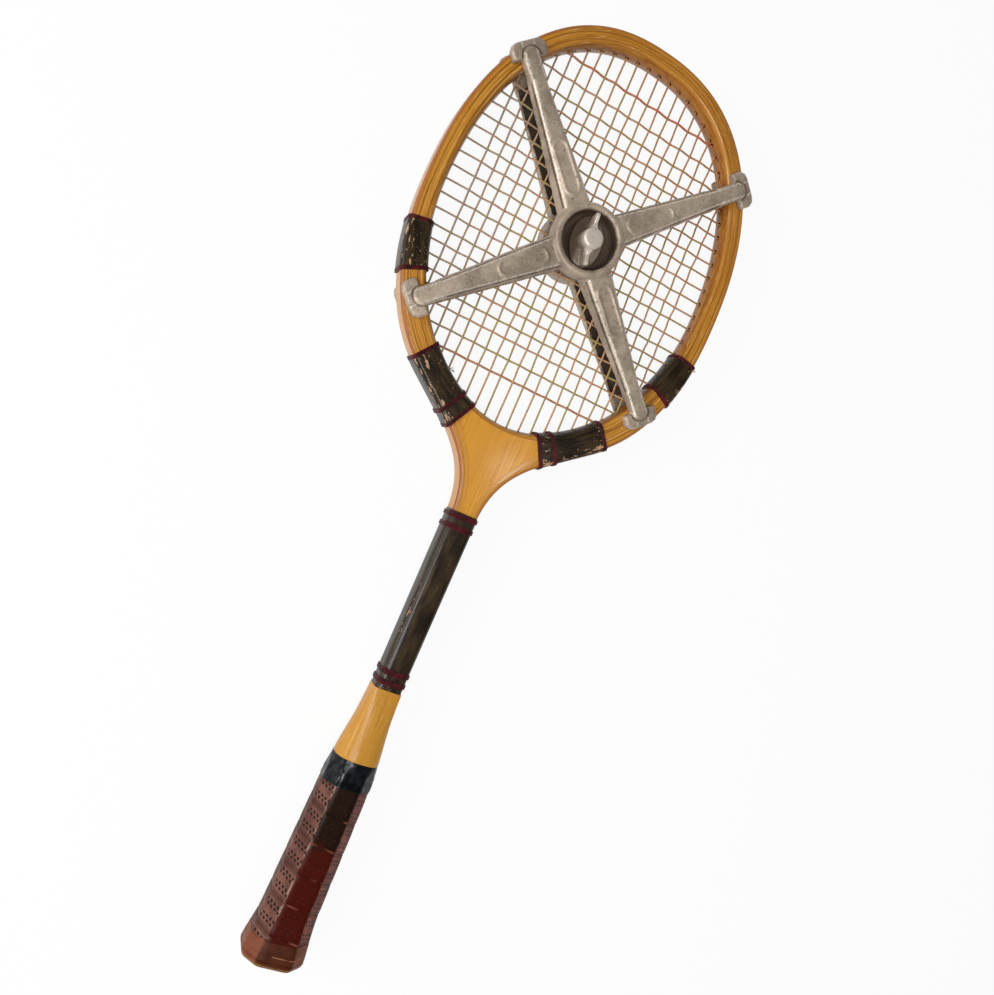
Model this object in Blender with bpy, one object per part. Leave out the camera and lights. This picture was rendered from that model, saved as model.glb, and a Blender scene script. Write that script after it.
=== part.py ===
"""A laminated wooden tennis racket held in an X-shaped cast aluminium press.

The racket lies face up. X runs along it towards the tip, Z is up, and the
origin is the centre of the butt's flat end, in the plane of the strings.
Sizes are in millimetres and degrees; meshes are made in metres.
"""
import math

import bmesh
import bpy
import numpy as np

MM = 0.001

# Clearances
GAP = 0.3                     # between pieces that touch on the real racket
STRING_END_GAP = 0.55         # from a string's cut end to the rim that holds it

# Whole racket; places along it are measured along X from the butt
LENGTH = 682.0
REST_LEVEL = 20.0             # string plane above the surface that the part lies on

# The head's outer edge and its opening: ovals that are an ellipse at a squareness of 2
HEAD_HALF_WIDTH = 117.3
HEAD_TIP_REACH = 155.0        # from the widest place to the tip
HEAD_THROAT_REACH = 141.8     # from the widest place towards the butt
HEAD_SQUARENESS = 2.28
OPENING_THROAT_SQUARENESS = 1.93
RIM_WIDTH = 14.1              # at the sides
RIM_TIP_WIDTH = 13.5
RIM_THROAT_WIDTH = 10.9
WIDEST_FROM_BUTT = LENGTH - HEAD_TIP_REACH
OPENING_HALF_WIDTH = HEAD_HALF_WIDTH - RIM_WIDTH
OPENING_TIP_REACH = HEAD_TIP_REACH - RIM_TIP_WIDTH
OPENING_THROAT_REACH = HEAD_THROAT_REACH - RIM_THROAT_WIDTH
PRESS_PAST_WIDEST = 7.8
PRESS_FROM_BUTT = WIDEST_FROM_BUTT + PRESS_PAST_WIDEST

# Bow of three ash plies
RIM_HALF_THICKNESS = 9.5
OUTER_CHAMFER = 2.0
EDGE_CHAMFER = 1.2
NOSE = ((3.4, 0.0), (1.3, 2.4), (0.0, 7.5))   # opening's rounded edge: in from it, down from the face
BOW_TURN = 149.7              # angle round the oval at which the plies leave it for the shaft
BOW_SEGMENTS = 34
LEG_SEGMENTS = 8
LEG_PULL_HEAD = 44.3          # how far the leg's curve keeps the oval's direction
LEG_PULL_SHAFT = 41.0         # and how far it keeps the shaft's
RING_THROAT_SEGMENTS = 9

# Shaft
NECK_LENGTH = 202.0           # from the head's widest place down to the shaft's straight part
SHAFT_TOP = WIDEST_FROM_BUTT - NECK_LENGTH
SHAFT_BOTTOM = 204.0
SHAFT_HALF_WIDTH = 9.5
SHAFT_TAPER = 0.5
SHAFT_HALF_THICKNESS = 9.0
SHAFT_OUTER_PLY = 2.5
SHAFT_MIDDLE_PLY = 3.1
WEDGE_LENGTH = 90.0           # throat wedge, from the head's opening down into the shaft
WEDGE_HORN = 1.2              # least thickness at the wedge's two upper tips

# Leather strap and collar tape
STRAP_THICKNESS = 1.8
STRAP_PITCH = 21.7
STRAP_SEAM = 0.5
STRAP_POINTS_A_TURN = 16      # one on each edge and flat of the handle
STRAP_START = 14              # the one of those points at which the strap starts
COLLAR_THICKNESS = 0.6
COLLAR_LENGTH = 18.5
COLLAR_OVER_STRAP = 8.0

# Handle's wood: place from the butt, half width, half thickness and bevel
BUTT_CAP_THICKNESS = 5.7
CONE_TOP = (198.0, 10.1, 9.9, 1.3)
CONE_MIDDLE = (174.0, 12.2, 11.6, 4.5)
CONE_BASE = (146.5, 15.9, 14.1, 7.4)
GRIP_TOP = (137.0, 15.0, 12.8, 7.9)
GRIP_SHOULDER = (118.0, 15.5, 13.1, 8.0)
GRIP_LOW = (32.0, 17.2, 13.9, 8.2)
FLARE_START = (20.0, 18.4, 15.1, 8.4)
FLARE_END = (BUTT_CAP_THICKNESS + GAP, 19.9, REST_LEVEL - GAP - STRAP_THICKNESS, 9.2)
BUTT_CAP_HALF_WIDTH = 22.0
BUTT_CAP_ROUNDING = ((2.7, 0.7), (4.6, 2.2), (5.7, 4.2))   # down from the strap, in from the side

# Whippings round the head, as angles round the two ovals from the tip
UPPER_WHIP_OUTER = (105.6, 122.4)
UPPER_WHIP_INNER = (106.3, 123.6)
LOWER_WHIP_OUTER = (146.0, 0.38)   # the angle where it starts, and the share of the leg where it ends
LOWER_WHIP_INNER = (146.6, 169.3)
WHIP_THICKNESS = 0.9
THREAD_BAND_WIDTH = 3.0
THREAD_BAND_THICKNESS = 1.2
MIDDLE_BAND_PLACE = 0.74
WHIP_SEGMENTS = 6
WHIP_MARGIN = 3.2             # a string end this near a whipping stops short of it

# Wrap and thread windings on the shaft
WRAP_PAST_SHAFT = 4.0
WRAP_TOP = SHAFT_TOP + WRAP_PAST_SHAFT
WRAP_BOTTOM = 200.8
WRAP_THICKNESS = 0.7
THROAT_WINDINGS = (2.8, 10.7)      # below the wrap's upper end
HANDLE_WINDINGS = (9.6, 2.5)       # above its lower end
WINDING_PLACES = tuple(WRAP_TOP - down for down in THROAT_WINDINGS) + tuple(
    WRAP_BOTTOM + up for up in HANDLE_WINDINGS)
THREAD_DIAMETER = 1.2
WINDING_PITCH = 1.65
WINDING_TURNS = 2.25

# Strings: the net has fewer of them than the racket, at the same spread
STRING_THICKNESS = 1.3
MAIN_COUNT = 18
MAIN_FROM_SIDE = 15.4         # from the opening's side to the outermost main
CROSS_COUNT = 18
CROSS_FROM_TIP = 37.2         # from the opening's tip to the outermost cross
CORD_DIAMETER = 1.6
LOWER_CORD_FROM_THROAT = 30.9
UPPER_CORD_FROM_TIP = 21.9
MAIN_SPREAD = 2 * (OPENING_HALF_WIDTH - MAIN_FROM_SIDE)
CROSS_SPREAD = 2 * (OPENING_TIP_REACH - CROSS_FROM_TIP - PRESS_PAST_WIDEST)   # either side of the bolt
LOWER_CORD_FROM_BUTT = WIDEST_FROM_BUTT - OPENING_THROAT_REACH + LOWER_CORD_FROM_THROAT
UPPER_CORD_FROM_BUTT = WIDEST_FROM_BUTT + OPENING_TIP_REACH - UPPER_CORD_FROM_TIP

# Press halves, as heights above the string plane
PRESS_TURN = -0.8             # how far the press is turned on the racket
ARM_ANGLES = (45.0, 135.0, 225.0, 315.0)
FOOT_PAST_SIDE = 17.5         # how much further than the head's half width the feet reach
ARM_REACH = HEAD_HALF_WIDTH + FOOT_PAST_SIDE
ARM_START = 20.6
CHANNEL_SHORT_OF_FOOT = 23.8  # from the channel's end to the foot's outer edge
CHANNEL_END = ARM_REACH - CHANNEL_SHORT_OF_FOOT
ARM_ROOT_HALF_WIDTH = 12.2
ARM_TIP_HALF_WIDTH = 7.2
ARM_ROOT_TOP = 17.4
ARM_TIP_TOP = 16.8
ARM_ROOT_UNDERSIDE = 5.0
ARM_DRAFT = 1.6
ARM_SHOULDER = 2.0
ARM_WALL = 2.6
ARM_WEB = 3.0
FOOT_STEP = 4.0               # from the arm's round end to the foot's outer edge
FOOT_LENGTH = 11.5
FOOT_HALF_WIDTH = 12.6
FOOT_THICKNESS = 4.0
FOOT_CORNER = 4.2
ARM_END_SEGMENTS = 8
ARM_END_RELIEF = 0.5          # the arm's end hangs this far clear of its foot's sole
HUB_RADIUS = 25.6
HUB_UNDERSIDE = 4.0
HUB_FLOOR = 4.0
HUB_WALL = 5.4
HUB_LIP = 1.4
HUB_SEAT_RADIUS = 13.2
HUB_SHOULDER = 1.2
ROUND_SEGMENTS = 36

# Clamp bolt, washer and wing nut
BOLT_RADIUS = 3.1
BOLT_HEAD_RADIUS = 8.5
BOLT_HEAD_THICKNESS = 4.2
WASHER_RADIUS = 11.0
WASHER_THICKNESS = 1.5
NUT_TURN = 10.0               # direction of the wings, from X
NUT_HEIGHT = 16.4
NUT_CAP = 2.0
BOSS_RADIUS = 7.5
BOSS_DOME = 1.9
FLANGE_THICKNESS = 3.0
FLANGE_RADIUS = 18.0
FLANGE_HALF_WIDTH = 9.0
WING_THICKNESS = 2.8
WING_RADIUS = 18.4
WING_HEIGHT = 13.8
WING_TIP_WIDTH = 4.4          # of the rounded top of each wing
WING_SLOPE = 2.2              # from the boss to where the wing's top starts to fall

# Shares of the rim's width, from its outer edge
PLY_GAP = GAP / RIM_WIDTH
PLY = (1 - 2 * PLY_GAP) / 3
WHIP_OUT = GAP + WHIP_THICKNESS
WRAP_OUT = GAP + WRAP_THICKNESS
STRAP_OUT = GAP + STRAP_THICKNESS
BOARD_END = FLARE_END[0]
STRAP_TOP = CONE_BASE[0] - COLLAR_LENGTH + COLLAR_OVER_STRAP

ASH = ((0.60, 0.33, 0.11), 0.28, 0.0)
PALE_ASH = ((0.68, 0.42, 0.15), 0.26, 0.0)
WRAP_BLACK = ((0.045, 0.038, 0.025), 0.25, 0.0)
THREAD_RED = ((0.16, 0.02, 0.03), 0.45, 0.0)
CORD_RED = ((0.55, 0.13, 0.05), 0.5, 0.0)
GUT = ((0.47, 0.33, 0.16), 0.4, 0.0)
LEATHER = ((0.15, 0.07, 0.05), 0.55, 0.0)
BUTT_LEATHER = ((0.36, 0.17, 0.08), 0.5, 0.0)
NAVY_TAPE = ((0.02, 0.025, 0.045), 0.3, 0.0)
CAST = ((0.50, 0.47, 0.42), 0.38, 1.0)
STEEL = ((0.42, 0.41, 0.39), 0.4, 1.0)


def material(name, finish):
    colour, roughness, metallic = finish
    new = bpy.data.materials.new(name)
    new.use_nodes = True
    shader = new.node_tree.nodes["Principled BSDF"]
    shader.inputs["Base Color"].default_value = (*colour, 1.0)
    shader.inputs["Roughness"].default_value = roughness
    shader.inputs["Metallic"].default_value = metallic
    return new


def guide(name, x):
    """An empty in the plane of the strings that pieces are placed under."""
    empty = bpy.data.objects.new(name, None)
    empty.location = (x * MM, 0.0, 0.0)
    bpy.context.scene.collection.objects.link(empty)
    return empty


def piece(name, vertices, faces, finish, parent, sharp=35.0):
    """A closed mesh from millimetre vertices, with its faces turned outwards."""
    mesh = bpy.data.meshes.new(name)
    scaled = [tuple(float(value) * MM for value in vertex) for vertex in vertices]
    mesh.from_pydata(scaled, [], [tuple(int(i) for i in face) for face in faces])
    work = bmesh.new()
    work.from_mesh(mesh)
    bmesh.ops.recalc_face_normals(work, faces=work.faces)
    work.to_mesh(mesh)
    work.free()
    mesh.shade_smooth()
    mesh.set_sharp_from_angle(angle=math.radians(sharp))
    new = bpy.data.objects.new(name, mesh)
    new.parent = parent
    bpy.context.scene.collection.objects.link(new)
    if finish is not None:
        mesh.materials.append(material(name, finish))
    return new


def ring_faces(rings, points, closed):
    """Quads between successive rings of points, and end caps on an open run."""
    faces = []
    for ring in range(rings if closed else rings - 1):
        here = ring * points
        there = (ring + 1) % rings * points
        for k in range(points):
            nxt = (k + 1) % points
            faces.append((here + k, here + nxt, there + nxt, there + k))
    if not closed:
        faces.append(tuple(range(points)))
        faces.append(tuple(range((rings - 1) * points, rings * points)))
    return faces


def loft(name, sections, finish, parent, closed=False):
    """A solid through sections that have the same number of points."""
    sections = np.asarray(sections, float)
    rings, points, _ = sections.shape
    return piece(name, sections.reshape(-1, 3), ring_faces(rings, points, closed), finish, parent)


def sleeve(name, outside, inside, finish, parent):
    """A tube with a wall: outer and inner sections, joined at both ends."""
    outside = np.asarray(outside, float)
    inside = np.asarray(inside, float)
    rings, points, _ = outside.shape
    shift = rings * points
    faces = []
    for base in (0, shift):
        for ring in range(rings - 1):
            for k in range(points):
                nxt = (k + 1) % points
                here, there = base + ring * points, base + (ring + 1) * points
                faces.append((here + k, here + nxt, there + nxt, there + k))
    for end in (0, (rings - 1) * points):
        for k in range(points):
            nxt = (k + 1) % points
            faces.append((end + k, end + nxt, shift + end + nxt, shift + end + k))
    vertices = np.concatenate([outside.reshape(-1, 3), inside.reshape(-1, 3)])
    return piece(name, vertices, faces, finish, parent)


def turned(name, profile, finish, parent, segments=ROUND_SEGMENTS):
    """A profile of (radius, height) points turned about Z; radius 0 closes on the axis."""
    vertices, rows = [], []
    for radius, height in profile:
        if radius == 0:
            rows.append([len(vertices)] * segments)
            vertices.append((0.0, 0.0, height))
            continue
        row = []
        for k in range(segments):
            angle = 2 * math.pi * k / segments
            row.append(len(vertices))
            vertices.append((radius * math.cos(angle), radius * math.sin(angle), height))
        rows.append(row)
    faces = []
    ring_shaped = all(radius > 0 for radius, _ in profile)
    for i in range(len(rows) if ring_shaped else len(rows) - 1):
        low, high = rows[i], rows[(i + 1) % len(rows)]
        for k in range(segments):
            nxt = (k + 1) % segments
            corners = [low[k], low[nxt], high[nxt], high[k]]
            faces.append(tuple(dict.fromkeys(corners)))
    return piece(name, vertices, faces, finish, parent)


def plate(name, outline, low, high, finish, parent):
    """A flat outline of (x, y) points, from height low to height high."""
    ends = [[(x, y, height) for x, y in outline] for height in (low, high)]
    return loft(name, ends, finish, parent)


def unite(base, helpers):
    """Boolean unions of helper solids into a base solid."""
    for helper in helpers:
        helper.hide_render = True
        helper.display_type = 'WIRE'
        join = base.modifiers.new("join_" + helper.name, 'BOOLEAN')
        join.operation = 'UNION'
        join.solver = 'EXACT'
        join.object = helper


def cord(name, points, diameter, finish, parent, resolution=1):
    """A round cord through its points."""
    curve = bpy.data.curves.new(name, 'CURVE')
    curve.dimensions = '3D'
    curve.bevel_depth = diameter / 2 * MM
    curve.bevel_resolution = resolution
    curve.use_fill_caps = True
    spline = curve.splines.new('POLY')
    spline.points.add(len(points) - 1)
    for point, place in zip(spline.points, points):
        point.co = (*(float(value) * MM for value in place), 1.0)
    new = bpy.data.objects.new(name, curve)
    new.parent = parent
    bpy.context.scene.collection.objects.link(new)
    curve.materials.append(material(name, finish))
    return new


def squared_oval(half_width, reach, squareness, degrees):
    """The point of an oval in a direction from the middle of the head's widest place."""
    angle = math.radians(degrees)
    along, side = math.cos(angle), math.sin(angle)
    size = abs(along / reach) ** squareness + abs(side / half_width) ** squareness
    radius = size ** (-1 / squareness)
    return np.array((WIDEST_FROM_BUTT + radius * along, radius * side))


def report_least_gap(name, points, steps_a_turn, diameter):
    """Print how near a winding comes to its own neighbouring turns."""
    points = np.asarray(points)
    least = math.inf
    for k in range(len(points)):
        others = points[k + steps_a_turn // 2:]
        if len(others):
            least = min(least, float(np.linalg.norm(others - points[k], axis=1).min()))
    print(f"{name}: least gap to itself {least - diameter:.2f} mm")


def oval(depth, degrees):
    """A point of the rim, a share of the way in from its outer edge to the opening."""
    if math.cos(math.radians(degrees)) > 0:
        outer = squared_oval(HEAD_HALF_WIDTH, HEAD_TIP_REACH, HEAD_SQUARENESS, degrees)
        inner = squared_oval(OPENING_HALF_WIDTH, OPENING_TIP_REACH, HEAD_SQUARENESS, degrees)
    else:
        outer = squared_oval(HEAD_HALF_WIDTH, HEAD_THROAT_REACH, HEAD_SQUARENESS, degrees)
        inner = squared_oval(OPENING_HALF_WIDTH, OPENING_THROAT_REACH, OPENING_THROAT_SQUARENESS, degrees)
    return outer + (inner - outer) * depth


def shaft_edge(depth, x):
    """Half width of the shaft at a ply edge; the plies thin out there."""
    narrowing = SHAFT_TAPER * min(1.0, max(0.0, (SHAFT_TOP - x) / (SHAFT_TOP - SHAFT_BOTTOM)))
    middle_start = SHAFT_HALF_WIDTH - SHAFT_OUTER_PLY - GAP
    core_start = middle_start - SHAFT_MIDDLE_PLY - GAP
    depths = (0.0, PLY, PLY + PLY_GAP, 2 * PLY + PLY_GAP, 2 * PLY + 2 * PLY_GAP)
    edges = (SHAFT_HALF_WIDTH, middle_start + GAP, middle_start, core_start + GAP, core_start)
    return float(np.interp(depth, depths, edges)) - narrowing


def leg(depth, share):
    """The curve on which a ply edge leaves the oval and joins the shaft."""
    start = oval(depth, BOW_TURN)
    heading = oval(depth, BOW_TURN + 0.5) - oval(depth, BOW_TURN - 0.5)
    heading /= np.linalg.norm(heading)
    end = np.array((SHAFT_TOP, shaft_edge(depth, SHAFT_TOP)))
    pull_in = start + heading * LEG_PULL_HEAD
    pull_out = end + np.array((LEG_PULL_SHAFT, 0.0))
    rest = 1 - share
    return (rest ** 3 * start + 3 * rest ** 2 * share * pull_in
            + 3 * rest * share ** 2 * pull_out + share ** 3 * end)


def ply_edge(depth):
    """One edge of a ply, from the tip down one side to the butt, and its half thickness."""
    points, thickness = [], []
    for k in range(BOW_SEGMENTS + 1):
        points.append(oval(depth, BOW_TURN * k / BOW_SEGMENTS))
        thickness.append(RIM_HALF_THICKNESS)
    for k in range(1, LEG_SEGMENTS + 1):
        share = k / LEG_SEGMENTS
        points.append(leg(depth, share))
        thickness.append(RIM_HALF_THICKNESS + share * (SHAFT_HALF_THICKNESS - RIM_HALF_THICKNESS))
    for x in (SHAFT_BOTTOM, BOARD_END):
        points.append(np.array((x, shaft_edge(depth, x))))
        thickness.append(SHAFT_HALF_THICKNESS)
    return np.array(points), np.array(thickness)


def both_sides(points, thickness):
    """The same edge from the butt up one side, over the tip and down the other."""
    far = points * (1, -1)
    return np.concatenate([points[::-1], far[1:]]), np.concatenate([thickness[::-1], thickness[1:]])


def across(outer, inner, profile):
    """Section points set between an outer and an inner edge point, from (inset, height)."""
    width = np.linalg.norm(inner - outer)
    direction = (inner - outer) / width
    return [(*(outer + direction * inset), height) for inset, height in profile(width)]


def ply(name, depth, profile, parent):
    outer, thickness = both_sides(*ply_edge(depth))
    inner, _ = both_sides(*ply_edge(depth + PLY))
    sections = [across(a, b, lambda width, t=t: profile(width, t))
                for a, b, t in zip(outer, inner, thickness)]
    return loft(name, sections, ASH, parent)


def outer_ply_profile(width, half):
    side = [(0.0, half - OUTER_CHAMFER - 0.5), (0.8, half - EDGE_CHAMFER),
            (OUTER_CHAMFER, half), (width, half)]
    return [(inset, -height) for inset, height in reversed(side)] + side


def square_profile(width, half):
    return [(width, -half), (0.0, -half), (0.0, half), (width, half)]


def inner_ply_profile(width, half):
    side = [(width - inset, half - drop) for inset, drop in reversed(NOSE)] + [(0.0, half)]
    return [(inset, -height) for inset, height in reversed(side)] + side


def inner_ring(parent):
    """The innermost ply goes right round the opening, over the throat wedge."""
    depth = 2 * (PLY + PLY_GAP)
    angles = [BOW_TURN * k / BOW_SEGMENTS for k in range(BOW_SEGMENTS + 1)]
    spare = 360.0 - 2 * BOW_TURN
    steps = 2 * RING_THROAT_SEGMENTS
    angles += [BOW_TURN + spare * k / steps for k in range(1, steps + 1)]
    angles += [360.0 - angle for angle in angles[BOW_SEGMENTS - 1:0:-1]]
    sections = [across(oval(depth, angle), oval(depth + PLY, angle),
                       lambda width: inner_ply_profile(width, RIM_HALF_THICKNESS)) for angle in angles]
    return loft("inner_ply", sections, ASH, parent, closed=True)


def throat_wedge(parent):
    """Fills the fork between the plies: a concave top, sides on the plies, and a tail in the shaft."""
    top_depth = 2 * PLY + PLY_GAP
    side_depth = top_depth + PLY_GAP
    bottom = oval(top_depth, 180.0)[0] - WEDGE_LENGTH
    angles = np.linspace(BOW_TURN, 180.0, 120)
    seat = np.array([oval(top_depth, angle) for angle in angles])
    side = [leg(side_depth, k / (4 * LEG_SEGMENTS)) for k in range(4 * LEG_SEGMENTS + 1)]
    apart = [np.linalg.norm(seat - point, axis=1) for point in side]
    first = next(k for k, distances in enumerate(apart) if distances.min() > WEDGE_HORN)
    horn = float(angles[apart[first].argmin()])
    side = side[first::3] + [np.array((bottom, shaft_edge(side_depth, bottom)))]
    steps = 2 * RING_THROAT_SEGMENTS
    arc = [oval(top_depth, horn + (360 - 2 * horn) * k / steps) for k in range(steps + 1)]
    outline = arc + [point * (1, -1) for point in side] + side[::-1]
    wedge = plate("throat_wedge", outline, -SHAFT_HALF_THICKNESS, SHAFT_HALF_THICKNESS, PALE_ASH, parent)
    return wedge, bottom


def shaft_core(top, parent):
    depth = 2 * (PLY + PLY_GAP)
    sections = []
    for x in (top - GAP, SHAFT_BOTTOM, BOARD_END):
        half = shaft_edge(depth, x)
        thick = SHAFT_HALF_THICKNESS
        sections.append([(x, -half, -thick), (x, half, -thick), (x, half, thick), (x, -half, thick)])
    return loft("shaft_core", sections, PALE_ASH, parent)


def handle_size(x):
    """Half width, half thickness and bevel of the handle's wood at a place along it."""
    table = (FLARE_END, FLARE_START, GRIP_LOW, GRIP_SHOULDER, GRIP_TOP, CONE_BASE, CONE_MIDDLE, CONE_TOP)
    places, *sizes = zip(*table)
    return [float(np.interp(x, places, values)) for values in sizes]


def octagon(x, half_width, half_depth, bevel):
    quarter = [(half_width, half_depth - bevel), (half_width - bevel, half_depth)]
    corners = quarter + [(-y, z) for y, z in reversed(quarter)]
    corners += [(y, -z) for y, z in reversed(corners)]
    return [(x, y, z) for y, z in corners]


def handle_section(x, grow):
    """Octagon round the handle, grown outwards by a distance."""
    half_width, half_depth, bevel = handle_size(x)
    return octagon(x, half_width + grow, half_depth + grow, bevel + grow * (2 - math.sqrt(2)))


def handle_blocks(parent):
    """Side blocks beside the shaft, and front and back slabs over both."""
    places = [row[0] for row in (CONE_TOP, CONE_MIDDLE, CONE_BASE, GRIP_TOP, GRIP_SHOULDER, GRIP_LOW,
                                 FLARE_START, FLARE_END)]
    half = SHAFT_HALF_THICKNESS
    for name, sign in (("handle_block_left", 1), ("handle_block_right", -1)):
        sections = []
        for x in places:
            inner = shaft_edge(0.0, x) + GAP
            half_width, half_depth, bevel = handle_size(x)
            corner = half_width + half_depth - bevel - half
            outline = [(inner, -half), (corner, -half), (half_width, bevel - half_depth)]
            outline += [(y, -z) for y, z in reversed(outline)]
            sections.append([(x, sign * y, z) for y, z in outline])
        loft(name, sections, PALE_ASH, parent)
    for name, sign in (("handle_slab_front", 1), ("handle_slab_back", -1)):
        sections = []
        for x in places:
            half_width, half_depth, bevel = handle_size(x)
            base = half + GAP
            foot = half_width + half_depth - bevel - base
            outline = [(-foot, base), (foot, base),
                       (half_width - bevel, half_depth), (bevel - half_width, half_depth)]
            sections.append([(x, y, sign * z) for y, z in outline])
        loft(name, sections, PALE_ASH, parent)


def butt_cap(parent):
    """Leather-covered end, as deep as the level that the racket rests on."""
    cut = FLARE_END[3] + STRAP_OUT * (2 - math.sqrt(2))
    sections = []
    for down, inset in ((0.0, 0.0),) + BUTT_CAP_ROUNDING:
        sections.append(octagon(BUTT_CAP_THICKNESS - down, BUTT_CAP_HALF_WIDTH - inset, REST_LEVEL - inset,
                                cut - inset * (2 - math.sqrt(2))))
    return loft("butt_cap", sections, BUTT_LEATHER, parent)


def grip_strap(parent):
    """Leather strap wound up the handle edge to edge, trimmed square at both ends."""
    low, high = BOARD_END, STRAP_TOP
    width = STRAP_PITCH - STRAP_SEAM
    turns = (high - low + width) / STRAP_PITCH
    steps = int(turns * STRAP_POINTS_A_TURN)
    sliver = 0.6

    def on_handle(x, turn, grow):
        """The octagon's outline is walked at an even pace for each turn."""
        ring = np.array(handle_section(x, grow))
        closed = np.concatenate([ring, ring[:1]])
        corner_share = np.linspace(0.0, 1.0, len(closed))
        share = (STRAP_START / STRAP_POINTS_A_TURN - turn) % 1.0
        return [x] + [float(np.interp(share, corner_share, closed[:, axis])) for axis in (1, 2)]

    sections = []
    for step in range(steps + 1):
        turn = step / STRAP_POINTS_A_TURN
        centre = low - width / 2 + turn * STRAP_PITCH
        start = min(max(centre - width / 2, low), high - sliver)
        end = max(min(centre + width / 2, high), low + sliver)
        sections.append([on_handle(start, turn, GAP), on_handle(end, turn, GAP),
                         on_handle(end, turn, STRAP_OUT), on_handle(start, turn, STRAP_OUT)])
    print(f"grip_strap: least gap to itself {STRAP_PITCH - width:.2f} mm")
    return loft("grip_strap", sections, LEATHER, parent)


def collar_tape(parent):
    """Tape over the strap's upper end and the wood above it."""
    low, high = CONE_BASE[0] - COLLAR_LENGTH, CONE_BASE[0]
    stations = ((low, STRAP_OUT + GAP), (STRAP_TOP + GAP, STRAP_OUT + GAP), (high, GAP))
    inside = [handle_section(x, grow) for x, grow in stations]
    outside = [handle_section(x, grow + COLLAR_THICKNESS) for x, grow in stations]
    return sleeve("collar_tape", outside, inside, NAVY_TAPE, parent)


def rim_section(width, half, grow, slants):
    """Outline round the rim, grown outwards; slants lengthen it where it crosses the rim askew."""
    outer_slant, inner_slant = slants
    side = [(-grow * outer_slant, half - OUTER_CHAMFER - 0.5 + 0.3 * grow),
            ((0.8 - 0.75 * grow) * outer_slant, half - EDGE_CHAMFER + 0.75 * grow),
            ((OUTER_CHAMFER - 0.3 * grow) * outer_slant, half + grow)]
    for (inset, drop), (out, up) in zip(NOSE, ((0.3, 1.0), (0.8, 0.6), (1.0, 0.2))):
        side.append((width + (out * grow - inset) * inner_slant, half - drop + up * grow))
    return side + [(inset, -height) for inset, height in reversed(side)]


def slants_across(line, other):
    """How much longer each line from one edge to the other is than a square crossing."""
    crossing = other - line
    run = np.gradient(line, axis=0)
    square = np.abs(crossing[:, 0] * run[:, 1] - crossing[:, 1] * run[:, 0])
    return np.linalg.norm(crossing, axis=1) * np.linalg.norm(run, axis=1) / square


def even_points(points, low, high, count):
    """Points at even arc lengths between two shares of a line's length."""
    points = np.asarray(points)
    lengths = np.concatenate([[0.0], np.cumsum(np.linalg.norm(np.diff(points, axis=0), axis=1))])
    wanted = np.linspace(low, high, count) * lengths[-1]
    return np.stack([np.interp(wanted, lengths, points[:, axis]) for axis in (0, 1)], axis=1)


def whip_lines(zone):
    """Outer and inner edge of the rim along a whipping."""
    if zone == "upper":
        outer = [oval(0.0, angle) for angle in np.linspace(*UPPER_WHIP_OUTER, 40)]
        return outer, [oval(1.0, angle) for angle in np.linspace(*UPPER_WHIP_INNER, 40)]
    outer = [oval(0.0, angle) for angle in np.linspace(LOWER_WHIP_OUTER[0], BOW_TURN, 20)]
    outer += [leg(0.0, share) for share in np.linspace(0.0, LOWER_WHIP_OUTER[1], 20)[1:]]
    return outer, [oval(1.0, angle) for angle in np.linspace(*LOWER_WHIP_INNER, 40)]


def rim_sleeve(name, zone, side, low, high, count, inside, outside, finish, parent):
    """A sleeve round the rim between two shares of a whipping's length."""
    outer_line, inner_line = whip_lines(zone)
    outer = even_points(outer_line, low, high, count)
    inner = even_points(inner_line, low, high, count)
    slants = np.stack([slants_across(outer, inner), slants_across(inner, outer)], axis=1)
    outer, inner = outer * (1, side), inner * (1, side)
    shells = []
    for grow in (outside, inside):
        shells.append([across(a, b, lambda width, g=grow, pair=pair: rim_section(
                           width, RIM_HALF_THICKNESS, g, pair))
                       for a, b, pair in zip(outer, inner, slants)])
    return sleeve(name, shells[0], shells[1], finish, parent)


def whippings(parent):
    """Four dark whippings, each between bands of red thread."""
    for zone in ("upper", "lower"):
        outer_line, _ = whip_lines(zone)
        span = np.linalg.norm(np.diff(np.asarray(outer_line), axis=0), axis=1).sum()
        band, space = THREAD_BAND_WIDTH / span, GAP / span
        band_out = GAP + THREAD_BAND_THICKNESS
        for label, side in (("left", 1), ("right", -1)):
            rim_sleeve(f"whipping_{zone}_{label}", zone, side, band + space, 1 - band - space,
                       WHIP_SEGMENTS + 1, GAP, WHIP_OUT, WRAP_BLACK, parent)
            rim_sleeve(f"thread_{zone}_{label}_top", zone, side, 0.0, band, 2, GAP, band_out,
                       THREAD_RED, parent)
            rim_sleeve(f"thread_{zone}_{label}_bottom", zone, side, 1 - band, 1.0, 2, GAP, band_out,
                       THREAD_RED, parent)
            if zone == "lower":
                rim_sleeve(f"thread_{zone}_{label}_middle", zone, side, MIDDLE_BAND_PLACE,
                           MIDDLE_BAND_PLACE + band, 2, WHIP_OUT + GAP, WHIP_OUT + band_out,
                           THREAD_RED, parent)


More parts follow.
